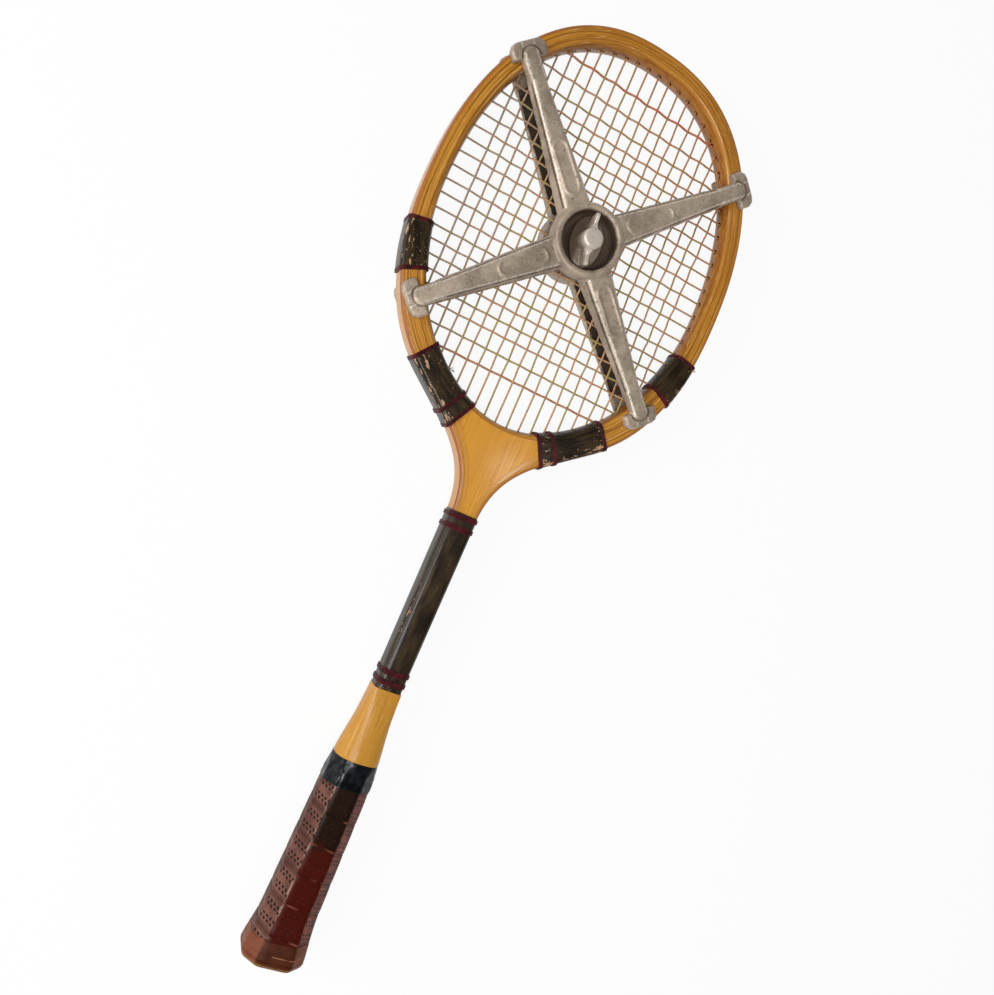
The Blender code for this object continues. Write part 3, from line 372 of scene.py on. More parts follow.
class Wire:
    """An output of a shader node. Arithmetic on wires adds Math nodes."""

    def __init__(self, paint, socket):
        self.paint = paint
        self.socket = socket

    def math(self, operation, *others):
        return self.paint.node("ShaderNodeMath", {"operation": operation}, self, *others)

    def __add__(self, other):
        return self.math("ADD", other)

    def __sub__(self, other):
        return self.math("SUBTRACT", other)

    def __rsub__(self, other):
        return self.paint.node("ShaderNodeMath", {"operation": "SUBTRACT"}, other, self)

    def __mul__(self, other):
        return self.math("MULTIPLY", other)

    def __truediv__(self, other):
        return self.math("DIVIDE", other)

    def __abs__(self):
        return self.math("ABSOLUTE")

    __radd__ = __add__
    __rmul__ = __mul__


class Paint:
    """A material under construction. Its methods add nodes and give back wires."""

    def __init__(self, name, **sockets):
        self.material = bpy.data.materials.new(name)
        self.material.use_nodes = True
        self.tree = self.material.node_tree
        self.shader = self.tree.nodes["Principled BSDF"]
        self.finish(**sockets)

    def feed(self, socket, value):
        """Link a wire to a socket, or set the socket. A colour is three steps of 0 to 255."""
        if isinstance(value, Wire):
            self.tree.links.new(value.socket, socket)
        elif isinstance(value, tuple) and len(value) == 3 and socket.type == 'RGBA':
            socket.default_value = (*map(light_of, value), 1.0)
        else:
            socket.default_value = value

    def node(self, kind, settings, *values, output=0, **named):
        """A node of a kind: first its settings, then its sockets in order or by name."""
        new = self.tree.nodes.new(kind)
        for key, value in settings.items():
            setattr(new, key, value)
        for place, value in enumerate(values):
            self.feed(new.inputs[place], value)
        for key, value in named.items():
            self.feed(new.inputs[key], value)
        return Wire(self, new.outputs[output])

    def place(self):
        """Object coordinates, in millimetres."""
        return self.stretch(self.node("ShaderNodeTexCoord", {}, output=3), (1 / MM,) * 3)

    def map(self, name):
        return self.node("ShaderNodeAttribute", {"attribute_name": name}, output=1)

    def split(self, vector):
        new = self.tree.nodes.new("ShaderNodeSeparateXYZ")
        self.feed(new.inputs[0], vector)
        return [Wire(self, socket) for socket in new.outputs]

    def stretch(self, vector, factors):
        return self.node("ShaderNodeVectorMath", {"operation": 'MULTIPLY'}, vector, factors)

    def noise(self, vector, scale, detail=2.0, roughness=0.5):
        """Noise with a scale for each axis, or one for all three."""
        scales = scale if isinstance(scale, tuple) else (scale,) * 3
        return self.node("ShaderNodeTexNoise", {}, Vector=self.stretch(vector, scales), Scale=1.0,
                         Detail=detail, Roughness=roughness)

    def step(self, value, low, high):
        """0 below low and 1 above high, smooth between; backwards if high is the lower."""
        return self.node("ShaderNodeMapRange", {"interpolation_type": 'SMOOTHSTEP'}, value, low, high)

    def mix(self, share, first, second):
        new = self.tree.nodes.new("ShaderNodeMix")
        new.data_type = 'RGBA'
        for place, value in ((0, share), (6, first), (7, second)):
            self.feed(new.inputs[place], value)
        return Wire(self, new.outputs[2])

    def layers(self, colour, *layers):
        """A colour with others laid over it in turn, each by its share."""
        for share, cover in layers:
            colour = self.mix(share, colour, cover)
        return colour

    def bump(self, height, distance):
        """Height in shares of a distance in millimetres."""
        return self.node("ShaderNodeBump", {}, Strength=1.0, Distance=distance * MM, Height=height)

    def finish(self, **sockets):
        for socket, value in sockets.items():
            self.feed(self.shader.inputs[socket.replace("_", " ")], value)
        return self.material


def light_of(step):
    """A colour's step of 0 to 255 as the light it stands for."""
    return step / 3294.6 if step <= 10 else ((step / 255 + 0.055) / 1.055) ** 2.4


# Finishes

def varnished_wood(name, light, dark, deep, glow, from_object=False, rim=False):
    """Streaky ash under old, scratched varnish. Long streaks are noise stretched along the grain, and
    thin dark lines lie where a slow noise passes its middle. Pale streaks in the glow colour, where the
    shine noise is high, are painted highlights."""
    paint = Paint(name, IOR=1.5, Coat_Roughness=0.12, Coat_IOR=1.5, Specular_IOR_Level=0.22 if rim else 0.16)
    grain = paint.place() if from_object else paint.map("grain")
    broad = paint.noise(grain, (0.016, 0.30, 0.16), 3.0)
    fine = paint.noise(grain, (0.018, 1.5, 0.8), 4.0, 0.6)
    pores = paint.noise(grain, (0.10, 6.0, 4.0), 2.0, 0.6)
    slow = paint.noise(grain, (0.013, 0.55, 0.3))
    shine = paint.noise(grain, (0.012, 0.7, 0.3))
    scratch = paint.noise(grain, (0.07, 2.2, 1.6), 2.0, 0.6)
    contrast = 0.85 if rim else 0.4
    lines = paint.step(abs(slow - 0.5), 0.03, 0.004) * paint.step(broad, 0.42, 0.6)
    colour = paint.layers(light,
                          (paint.step(broad * 0.5 + fine * 0.55, 0.44, 0.66) * contrast, dark),
                          # Painted highlight: pale streaks in the glow colour where the shine noise is high
                          (paint.step(shine, 0.58, 0.70) * 0.65, glow),
                          (lines * (0.6 * contrast), deep),
                          (paint.step(pores, 0.56, 0.70) * (0.4 * contrast), deep),
                          (paint.step(scratch, 0.64, 0.72) * contrast, (236, 196, 130)))
    if rim:
        colour = rim_stains_and_painted_light(paint, grain, colour, deep, broad, fine, shine)
    return paint.finish(Base_Color=colour, Roughness=0.26 + 0.25 * fine,
                        Normal=paint.bump(fine * 0.4 + broad, 0.25),
                        Coat_Weight=0.15 + 0.3 * shine if rim else 0.04 + 0.2 * shine)


def rim_stains_and_painted_light(paint, grain, colour, deep, broad, fine, shine):
    """The rim is paler at the throat and redder at its edges and glue lines. Its nose is redder and darker
    as painted shade blotched with stains, it is a little darker at the right as painted shade, and its
    side carries a painted pale sheen under a dark red line."""
    _, across, height = paint.split(grain)
    x, y, _ = paint.split(paint.place())
    size = abs(height)
    seams = [(paint.step(abs(across - seam * RIM_WIDTH), 0.6, 0.1) * (0.3 + 0.5 * shine), deep)
             for seam in PLY_EDGES[1:3]]
    # Painted shade on the nose's rounding into the opening, blotched by stains
    nose = paint.step(size, 9.3, 6.5) * paint.step(across, 7.5, 8.5)
    stain = paint.step(paint.noise(grain, (0.11, 0.3, 0.3), 3.0), 0.45, 0.7)
    # Painted sheen: the outer side wall is made paler
    side = paint.step(across, 0.35, 0.15) * paint.step(size, 7.0, 6.6)
    line = paint.step(across, 0.9, 0.6) * paint.step(abs(size - 7.2), 0.8, 0.5)
    return paint.layers(colour,
                        (paint.step(x, 430.0, 385.0) * 0.75, paint.mix(fine, (214, 152, 56), (184, 122, 38))),
                        *seams,
                        (paint.step(across + (broad - 0.5) * 1.6, 3.2, 0.8) * 0.75, (140, 72, 28)),
                        (nose * (0.45 + 0.45 * stain), (116, 60, 20)),
                        # Painted shade: a little darker towards the right of the head
                        (paint.step(x - y, 590.0, 680.0) * 0.2, (170, 106, 32)),
                        (side, (186, 130, 58)),
                        (line * (0.3 + 0.6 * paint.step(shine, 0.35, 0.5)), (96, 30, 22)))


def lacquered_whipping():
    """Near-black lacquer over thread: streaked along the wood, worn olive, with pale chips, fewest on
    the shaft. The map is (along the wood, round it, number of the winding)."""
    paint = Paint("lacquered_whipping", IOR=1.5, Coat_Roughness=0.16, Specular_IOR_Level=0.13)
    wind = paint.map("wind")
    _, turned_by, number = paint.split(wind)
    soft = paint.noise(wind, (0.05, 0.35, 3.0), 4.0)
    turns = paint.noise(wind, (2.4, 0.12, 3.0))
    worn = paint.noise(wind, (0.035, 0.42, 3.0), 4.0, 0.6)
    area = paint.noise(wind, (0.03, 0.05, 3.0)) - 0.5
    chips = paint.noise(wind, (0.14, 0.55, 7.0), 3.0, 0.6)
    specks = paint.noise(wind, (0.4, 1.6, 5.0), 2.0, 0.6)
    side = paint.step(turned_by, 11.0, 6.0) * 0.13
    shaft = paint.step(number, WHIP_NUMBERS["shaft"] - 0.5, WHIP_NUMBERS["shaft"] - 0.1) * 0.09
    chip = paint.step(chips + side - shaft + area * 0.4 + (turns - 0.5) * 0.06, 0.69, 0.71)
    chip = chip.math("MAXIMUM", paint.step(specks - shaft * 0.4 + area * 0.35, 0.68, 0.71))
    colour = paint.layers((25, 17, 8),
                          (paint.step(soft, 0.35, 0.68), (57, 43, 24)),
                          (paint.step(worn, 0.52, 0.74) * 0.5, (88, 74, 50)),
                          (chip * 0.85, paint.mix(soft, (206, 176, 138), (178, 128, 96))))
    return paint.finish(Base_Color=colour, Roughness=0.24 + 0.3 * worn, Coat_Weight=0.22 - 0.22 * chip,
                        Normal=paint.bump(soft * 0.6 + turns * 0.25 - chip * 0.7, 0.22))


def plain_thread(name, colour, dark):
    paint = Paint(name, IOR=1.45, Specular_IOR_Level=0.3)
    place = paint.place()
    soft = paint.noise(place, 0.25, 3.0)
    fibre = paint.noise(place, 2.5)
    return paint.finish(Base_Color=paint.mix(paint.step(soft, 0.35, 0.65), colour, dark),
                        Roughness=0.4 + fibre * 0.25, Normal=paint.bump(fibre, 0.03))


def string_gut(name, warm, green, mauve, russet):
    """Twisted gut: each string leans to warm or green, greyer on one side of the head and redder
    towards the other. The map is (along, turn, lean of the string)."""
    paint = Paint(name, IOR=1.5, Specular_IOR_Level=0.35)
    along, turn, lean = paint.split(paint.map("run"))
    place = paint.place()
    x, y, _ = paint.split(place)
    soft = paint.noise(place, 0.04, 3.0)
    spotty = paint.noise(place, 0.3, 3.0)
    colour = paint.layers(warm,
                          (paint.step(lean + (soft - 0.5) * 1.2, 0.2, 0.8), green),
                          (paint.step(y + (soft - 0.5) * 60, 25.0, 85.0) * 0.55, mauve),
                          (paint.step(x - y + (soft - 0.5) * 80, 560.0, 700.0) * 0.6, russet),
                          (paint.step(spotty, 0.56, 0.7) * 0.5, russet))
    twist = (along * 2.2 + turn).math("SINE") * 0.5 + 0.5
    return paint.finish(Base_Color=colour, Roughness=0.34 + soft * 0.2, Normal=paint.bump(twist, 0.1))


def perforated_leather():
    """Dark strap leather, glossy and darker on its front face, with its bevels lighter as a painted sheen, in
    a
    redder tint on the right: two staggered rows of punched holes run beside each edge, and the thinned edges
    make a smooth band at each seam. Painted highlights lie along the front face's left edge, along each seam
    on the front and at the hole rims there, and painted shadow darkens each seam's groove on the bevels.
    The map is (length along the strap, place across it, share of a turn)."""
    spacing, row_gap, first_row = 3.3, 2.7, 1.9
    paint = Paint("perforated_leather", IOR=1.5, Specular_IOR_Level=0.11)
    along, across, _ = paint.split(paint.map("strap"))
    place = paint.place()
    x, y, z = paint.split(place)
    cloud = paint.noise(place, 0.09, 3.0)
    skin = paint.noise(place, 1.3, 4.0, 0.6)
    size = abs(across)
    rise = z - abs(y) * 0.9 + (skin - 0.5) * 2.2
    front = paint.step(rise, 5.9, 6.8)
    back = 1.0 - front
    right = paint.step(y, 2.0, -2.0)
    mottle = paint.step(cloud + (skin - 0.5) * 0.4, 0.36, 0.64)
    # Painted sheen: lighter bevel colours, in a redder tint on the right bevel
    bevel = paint.mix(mottle, paint.mix(right, (110, 72, 60), (130, 74, 60)),
                      paint.mix(right, (84, 50, 42), (96, 50, 38)))
    face = paint.layers((66, 11, 4),
                        (paint.step(x + (cloud - 0.5) * 40, 78.0, 92.0), (28, 13, 4)),
                        (paint.step(skin, 0.5, 0.75) * 0.5, (52, 18, 8)))
    # Painted highlight along the left edge of the front face
    edge = paint.step(rise, 4.9, 5.9) * paint.step(rise, 7.6, 6.6) * paint.step(y, -2.0, 2.0)
    seam = paint.step(size, 10.1, 10.45)
    row = (size - first_row) / row_gap
    column = ((along / spacing + row.math("FLOOR") * 0.5).math("FRACT") - 0.5) * spacing
    level = (row.math("FRACT") - 0.5) * row_gap + (paint.noise(place, 0.35, 1.0) - 0.5) * 1.4
    distance = (column * column + level * level).math("SQRT")
    rows = paint.step(abs(size - first_row - row_gap), row_gap + 0.05, row_gap - 0.05)
    hole = paint.step(distance, 1.05, 0.8) * rows
    # Painted highlight: small glints at the hole rims on the front face
    hole_glint = paint.step(distance, 0.5, 0.25) * rows * front * paint.step(skin, 0.44, 0.56)
    colour = paint.layers(bevel,
                          (front, face),
                          (edge * paint.step(cloud, 0.4, 0.6) * 0.7, (164, 128, 114)),
                          # Painted shadow: a darker band and line in each seam's groove on the bevels
                          (paint.step(size, 8.7, 9.1) * back * 0.55, (62, 36, 28)),
                          (paint.step(abs(size - 8.8), 0.45, 0.2) * back * 0.45, (36, 18, 12)),
                          # Painted highlight: a pale line along each seam on the front face
                          (seam * front * paint.step(cloud, 0.45, 0.6) * 0.9, (136, 76, 60)),
                          (hole * back * 0.95, (24, 11, 8)),
                          (hole_glint * 0.25, (120, 92, 70)))
    return paint.finish(Base_Color=colour, Roughness=0.36 + skin * 0.2 - 0.12 * front,
                        Normal=paint.bump(skin * 0.15 - hole * back - seam * 0.2, 0.4))


def butt_leather():
    """Smooth brown leather, darker on its front face with a painted peach sheen on its bevels, worn yellow at
    its end, with a pale broken seam.
    """
    paint = Paint("butt_leather", IOR=1.5, Specular_IOR_Level=0.14)
    place = paint.place()
    x, y, z = paint.split(place)
    cloud = paint.noise(place, 0.12, 4.0)
    skin = paint.noise(place, 1.3, 4.0, 0.6)
    seam = paint.step(abs(x - 10.0 + (cloud - 0.5) * 2), 0.5, 0.2)
    colour = paint.layers((114, 62, 40),
                          # Painted sheen: the bevels keep the paler colour and the front face is darker
                          (paint.step(z - abs(y) * 0.9 + (skin - 0.5) * 2.0, 5.0, 8.5), (66, 24, 4)),
                          (paint.step(cloud, 0.4, 0.68) * 0.6, (86, 40, 20)),
                          (paint.step(x + (cloud - 0.5) * 7, 4.6, 1.0) * 0.6, (150, 112, 58)),
                          (seam * paint.step(cloud, 0.4, 0.6) * 0.55, (190, 128, 92)))
    return paint.finish(Base_Color=colour, Roughness=0.36 + skin * 0.2,
                        Normal=paint.bump(skin * 0.3 - seam, 0.2))


def navy_tape():
    paint = Paint("navy_tape", IOR=1.5, Coat_Roughness=0.1, Specular_IOR_Level=0.12)
    soft = paint.noise(paint.place(), (0.12, 0.25, 0.25), 4.0, 0.6)
    return paint.finish(Base_Color=paint.mix(paint.step(soft, 0.4, 0.8), (2, 7, 9), (24, 27, 34)),
                        Roughness=0.16 + soft * 0.25, Normal=paint.bump(soft, 0.2),
                        Coat_Weight=0.5 * paint.step(soft, 0.45, 0.65))


def cast_metal(name, light, dark, bright, grime_and_shade_tone):
    """Satin cast metal: finely speckled and pitted, bright where handling has rubbed it and where highlights
    are painted on edges. The map it reads is (grime with painted shade in its hollows, rubbed edges with
    painted highlights, 0)."""
    paint = Paint(name, IOR=1.5, Specular_IOR_Level=0.4)
    place = paint.place()
    hollow_grime_and_shade, rubbed_and_highlight, _ = paint.split(paint.map("wear"))
    cloud = paint.noise(place, 0.035, 4.0, 0.55)
    fine = paint.noise(place, 0.8, 4.0, 0.65)
    patch = paint.noise(place, 0.16, 3.0)
    pits = paint.step(paint.noise(place, 0.55), 0.67, 0.73)
    # Grime with painted shade in the hollows darkens the colour
    dirt_and_shade = paint.step(hollow_grime_and_shade + (patch - 0.5) * 0.8, 0.15, 0.85)
    colour = paint.layers(light,
                          (paint.step(cloud * 0.75 + patch * 0.25, 0.38, 0.62), dark),
                          (paint.step(fine, 0.5, 0.75) * 0.45, bright),
                          (paint.step(fine, 0.46, 0.3) * 0.3, grime_and_shade_tone),
                          # Rubbed edges with painted highlights lighten the colour
                          (paint.step(rubbed_and_highlight + (fine - 0.5) * 1.8, 0.4, 0.9) * 0.8, bright),
                          (pits * 0.7, (66, 54, 42)),
                          (dirt_and_shade * 0.95, paint.mix(patch, grime_and_shade_tone, (78, 62, 46))))
    return paint.finish(Base_Color=colour, Metallic=0.4 - dirt_and_shade * 0.35 - pits * 0.2,
                        Roughness=0.44 + cloud * 0.12 + dirt_and_shade * 0.15 - 0.08 * rubbed_and_highlight,
                        Normal=paint.bump(fine * 0.35 - pits * 0.7, 0.22))


RIM_WOOD = varnished_wood("rim_wood", (192, 132, 44), (150, 94, 28), (92, 50, 16), (230, 176, 90), rim=True)
THROAT_WOOD = varnished_wood("throat_wood", (208, 146, 50), (184, 122, 36), (146, 86, 28), (218, 160, 76))
HANDLE_WOOD = varnished_wood("handle_wood", (188, 133, 46), (166, 110, 33), (130, 80, 26), (200, 149, 70),
                             from_object=True)
WHIPPING = lacquered_whipping()
MAROON = plain_thread("dyed_thread", (86, 18, 22), (50, 12, 16))
GUT = string_gut("twisted_gut", (188, 142, 104), (168, 144, 88), (150, 134, 122), (164, 102, 56))
RED_CORD = string_gut("dyed_cord", (178, 122, 84), (166, 116, 72), (156, 106, 82), (188, 82, 50))
LEATHER = perforated_leather()
BUTT = butt_leather()
TAPE = navy_tape()
CAST = cast_metal("worn_casting", (186, 168, 148), (146, 130, 114), (216, 207, 193), (50, 35, 22))
STEEL = cast_metal("dull_steel", (168, 156, 138), (116, 104, 90), (206, 196, 180), (62, 48, 36))
# Painted shade: near-black finish for the walls of the string holes
HOLE_SHADE = plain_thread("painted_hole_shade", (48, 24, 12), (26, 13, 8))

# Finish, slot and node of each group of strings
STRINGS = {"string_mains": (GUT, "gut", "string_bed"), "string_crosses": (GUT, "gut", "string_bed"),
           "trebling_lower": (RED_CORD, "red_cord", "trebling_cord_lower"),
           "trebling_upper": (RED_CORD, "red_cord", "trebling_cord_upper")}


# Wood

def oval_radius(angle, half_width, reach, squareness):
    """Squared oval in polar form: (|cos/reach|^n + |sin/half width|^n)^(-1/n)."""
    size = np.abs(np.cos(angle) / reach) ** squareness + np.abs(np.sin(angle) / half_width) ** squareness
    return size ** (-1 / squareness)


def oval(depth, degrees):
    """Points of the rim, a share of the way from its outer edge to the opening."""
    angle = np.radians(np.asarray(degrees, float))
    tipward = np.cos(angle) > 0
    outer = oval_radius(angle, HEAD_HALF_WIDTH, np.where(tipward, HEAD_TIP_REACH, HEAD_THROAT_REACH),
                        HEAD_SQUARENESS)
    inner = oval_radius(angle, OPENING_HALF_WIDTH, np.where(tipward, OPENING_TIP_REACH, OPENING_THROAT_REACH),
                        np.where(tipward, HEAD_SQUARENESS, OPENING_THROAT_SQUARENESS))
    radius = lerp(outer, inner, depth)
    return vectors(WIDEST + radius * np.cos(angle), radius * np.sin(angle))


def shaft_edge(depth, x):
    """Half width of the shaft at a ply's edge; it narrows a little towards the handle."""
    narrowing = SHAFT_TAPER * ramp(x, SHAFT_TOP, SHAFT_BOTTOM)
    return np.interp(depth, PLY_EDGES[:3], SHAFT_PLY_EDGES) - narrowing


def leg(depth, share):
    """Cubic curve on which a ply's edge leaves the oval and joins the shaft."""
    share = np.asarray(share, float)[:, None]
    rest = 1 - share
    start = oval(depth, BOW_TURN)
    pull_in = start + unit(oval(depth, BOW_TURN + 0.5) - oval(depth, BOW_TURN - 0.5)) * LEG_PULL_HEAD
    end = np.array((SHAFT_TOP, shaft_edge(depth, SHAFT_TOP)))
    pull_out = end + (LEG_PULL_SHAFT, 0.0)
    return (rest ** 3 * start + 3 * rest ** 2 * share * pull_in
            + 3 * rest * share ** 2 * pull_out + share ** 3 * end)


def ply_edge(depth, bow_steps=260, leg_steps=56):
    """A ply's edge from the butt up the left side, over the tip and down the right, with half thickness."""
    share = np.linspace(0.0, 1.0, leg_steps)[1:]
    tail = np.array([SHAFT_BOTTOM, BOARD_END])
    points = join(oval(depth, np.linspace(0.0, BOW_TURN, bow_steps)), leg(depth, share),
                  vectors(tail, shaft_edge(depth, tail)))
    half = join(np.full(bow_steps, RIM_HALF), lerp(RIM_HALF, SHAFT_HALF, share), np.full(2, SHAFT_HALF))
    return join(points[::-1], points[1:] * (1, -1)), join(half[::-1], half[1:])


def edge_curve(steps):
    """Quarter ellipse of the rim's outer edge: (inset, drop) from its side to its face."""
    turn = np.linspace(0.0, QUARTER, steps)
    return EDGE_ROUND[0] * (1 - np.cos(turn)), EDGE_ROUND[1] * (1 - np.sin(turn))


def ply_section(part, width, half):
    """Outline of a ply's section at each row: insets and heights, from its outer to its inner side and
    back. The outer ply has a quarter-elliptic edge and the inner one a half-elliptic nose."""
    groove, depth = GLUE_LINE
    start = [(0 * width, half - depth), (0 * width + groove, half)]
    end = [(width - groove, half), (width, half - depth)]
    if part == "outer":
        start = [(0 * width + inset, half - drop) for inset, drop in zip(*edge_curve(8))]
    if part == "inner":
        end = [(width - NOSE * (1 - math.sin(t)), half * math.cos(t)) for t in np.linspace(0.0, QUARTER, 12)]
    upper = start + end
    lower = [(inset, -height) for inset, height in reversed(upper) if np.any(height > 1e-9)]
    return [np.stack(values, 1) for values in zip(*upper, *lower)]


def ply_sheet(part, outer, inner, half, depth, closed):
    """A ply between two edge lines; its grain map is (along, across the rim, height)."""
    width = np.linalg.norm(inner - outer, axis=1)
    inset, height = ply_section(part, width, half)
    plan = outer[:, None] + ((inner - outer) / width[:, None])[:, None] * inset[..., None]
    points = join(plan, height[..., None], axis=-1)
    if closed:
        outer, inset, height = (again(grid, 0) for grid in (outer, inset, height))
    grain = vectors(lengths(outer)[:, None], again(depth * RIM_WIDTH + inset), again(height))
    return sheet(points, (closed, True), grain=grain)


def string_ends():
    """For each string: its line's fixed coordinate and its two ends at the opening."""
    throat, tip = (OPENING_THROAT_REACH, OPENING_THROAT_SQUARENESS), (OPENING_TIP_REACH, HEAD_SQUARENESS)
    mains, crosses = [], []
    for y in (np.arange(MAIN_COUNT) - (MAIN_COUNT - 1) / 2) * MAIN_SPACING:
        low, high = (reach * (1 - abs(y / OPENING_HALF_WIDTH) ** power) ** (1 / power)
                     for reach, power in (throat, tip))
        mains.append((y, WIDEST - low, WIDEST + high))
    for x in CROSSES:
        reach, power = tip if x > WIDEST else throat
        side = OPENING_HALF_WIDTH * (1 - abs((x - WIDEST) / reach) ** power) ** (1 / power)
        crosses.append((x, -side, side))
    return mains, crosses


def hole_cutter(mains, crosses):
    """Short rods across the opening's edge: one where each string enters the wood. Their near-black finish
    passes to the holes' walls as painted shade.
    """
    entries = [(place, y) for y, *ends in mains for place in ends]
    entries += [(x, place) for x, *ends in crosses for place in ends]
    rods = []
    for x, y in entries:
        inward = unit(np.array((WIDEST - x, -y, 0.0)))
        start = np.array((x, y, HOLE_HEIGHT)) - inward * HOLE_REACH[0]
        path = start + inward * np.linspace(0.0, HOLE_REACH[1], 3)[:, None]
        rods.append(sheet(tube(path, HOLE_RADIUS, (0.0, 0.0, 1.0), 10)[0]))
    cutter = make_object("hole_cutter", rods)
    cutter.data.materials.append(HOLE_SHADE)
    return cutter


def build_plies(mains, crosses):
    edges = [ply_edge(depth) for depth in PLY_EDGES[:3]]
    for k, part in enumerate(("outer", "middle")):
        (outer, half), (inner, _) = edges[k:k + 2]
        ply = make_object(f"{part}_ply_wood", [ply_sheet(part, outer, inner, half, PLY_EDGES[k], False)])
        dress(ply, RIM_WOOD, "ash", f"{part}_ply")
    degrees = RING_START + np.arange(RING_STEPS) * 360 / RING_STEPS
    ring = make_object("inner_ply_wood", [ply_sheet("inner", oval(PLY_EDGES[2], degrees), oval(1.0, degrees),
                                                    np.full(RING_STEPS, RIM_HALF), PLY_EDGES[2], True)])
    dress(ring, RIM_WOOD, "ash", "inner_ply")
    cutter = hole_cutter(mains, crosses)
    drill = ring.modifiers.new("string_holes", 'BOOLEAN')
    drill.operation = 'DIFFERENCE'
    drill.solver = 'MANIFOLD'
    drill.material_mode = 'TRANSFER'
    drill.object = cutter
    apply_modifiers(ring)
    bpy.data.objects.remove(cutter)


def mirrored_slab(name, upper):
    """A flat solid between an upper grid and its mirror image below, for each half of the racket."""
    grids = []
    for side in (1, -1):
        rows = upper * (1, side, 1)
        grain = rows * (-1, 1, 1) + (0, RIM_WIDTH / 2, 0)
        grids += [sheet(rows * (1, 1, sign), (False, False), caps=False, grain=grain) for sign in (1, -1)]
    slab = make_object(name, grids)
    work = bmesh.new()
    work.from_mesh(slab.data)
    bmesh.ops.dissolve_degenerate(work, dist=1e-6, edges=work.edges)
    bmesh.ops.bridge_loops(work, edges=[edge for edge in work.edges if edge.is_boundary])
    settle(work, slab.data)
    return slab


def build_throat():
    """The wedge between the bow's legs: rows run from the ring or the middle line out to a leg."""
    depth = PLY_EDGES[2]
    bottom = float(oval(depth, 180.0)[0]) - WEDGE_LENGTH
    share = join(np.linspace(0.0, WEDGE_TURN, 34), np.linspace(WEDGE_TURN, 1.0, 40)[1:])
    outer = join(leg(depth, share), [(bottom, shaft_edge(depth, bottom))])
    arc = oval(depth, np.linspace(BOW_TURN, 180.0, 34))
    middle = np.linspace(arc[-1][0], SHAFT_TOP, 40)[1:]
    inner = join(arc, vectors(middle, 0.0), [(bottom, 0.0)])
    height = join(lerp(RIM_HALF, SHAFT_HALF, share), [SHAFT_HALF])
    plan = inner[:, None] + (outer - inner)[:, None] * np.linspace(0.0, 1.0, 12)[:, None]
    wedge = mirrored_slab("throat_wedge_wood", vectors(plan[..., 0], plan[..., 1], height[:, None]))
    dress(wedge, THROAT_WOOD, "pale_ash", "throat_wedge")


def rounded_ring(corners, share, rounding):
    """Points round polygons, at shares of a turn in which each side takes an equal part.
    Each point is the mean of the outline over a short stretch, which rounds the corners."""
    count = corners.shape[-2]
    shape = np.broadcast_shapes(corners.shape[:-2], share.shape)
    share, corners = np.broadcast_to(share, shape), np.broadcast_to(corners, (*shape, count, 2))
    total = 0.0
    offsets = np.linspace(-rounding, rounding, 9) / count
    for offset in offsets:
        walk = (share + offset) % 1.0 * count
        side = np.minimum(walk.astype(int), count - 1)
        here = np.take_along_axis(corners, side[..., None, None], -2)[..., 0, :]
        there = np.take_along_axis(corners, (side[..., None, None] + 1) % count, -2)[..., 0, :]
        total = total + lerp(here, there, (walk - side)[..., None])
    return total / len(offsets)


def octagons(half_width, half_depth, bevel):
    """Corners of octagons, from the upper right of the left side round to the lower right."""
    y = vectors(half_width, half_width - bevel)
    z = vectors(half_depth - bevel, half_depth)
    y = join(y, -y[..., ::-1], axis=-1)
    z = join(z, z[..., ::-1], axis=-1)
    return vectors(join(y, y[..., ::-1], axis=-1), join(z, -z[..., ::-1], axis=-1))


def handle_size(x, grow):
    """Half width, half depth and bevel of the handle, smoothed along it and grown outwards."""
    places, *sizes = zip(*HANDLE)
    spread = np.linspace(-3.0, 3.0, 7)
    width, depth, bevel = (np.mean([np.interp(x + shift, places, size) for shift in spread], 0)
                           for size in sizes)
    return width + grow, depth + grow, bevel + grow * BEVEL_GROWTH


def handle_ring(x, grow, rounding, share=AROUND):
    """Points on the handle at places along it, grown outwards, and shares of a turn round it."""
    x, grow, share = np.broadcast_arrays(x, grow, share)
    ring = rounded_ring(octagons(*handle_size(x, grow)), share, rounding)
    return vectors(x, ring[..., 0], ring[..., 1])


def build_handle():
    """The handle's wood, with a square bore for the laminated shaft."""
    x = join(np.linspace(BOARD_END, COLLAR[1] - 2, 60), np.linspace(COLLAR[1] - 1, HANDLE[-1][0], 60))
    outside = handle_ring(x[:, None], np.interp(x, *CONE_SWELL)[:, None], CONE_CORNER)
    bore = octagons(shaft_edge(0.0, x) + FIT, SHAFT_HALF + FIT, BORE_BEVEL)
    inside = rounded_ring(bore[:, None], AROUND, BORE_CORNER)
    wood = make_object("handle_wood", [sleeve(outside, vectors(x[:, None], inside[..., 0], inside[..., 1]))])
    dress(wood, HANDLE_WOOD, "pale_ash", "handle_block_left", "handle_block_right", "handle_slab_front",
          "handle_slab_back")


# Grip

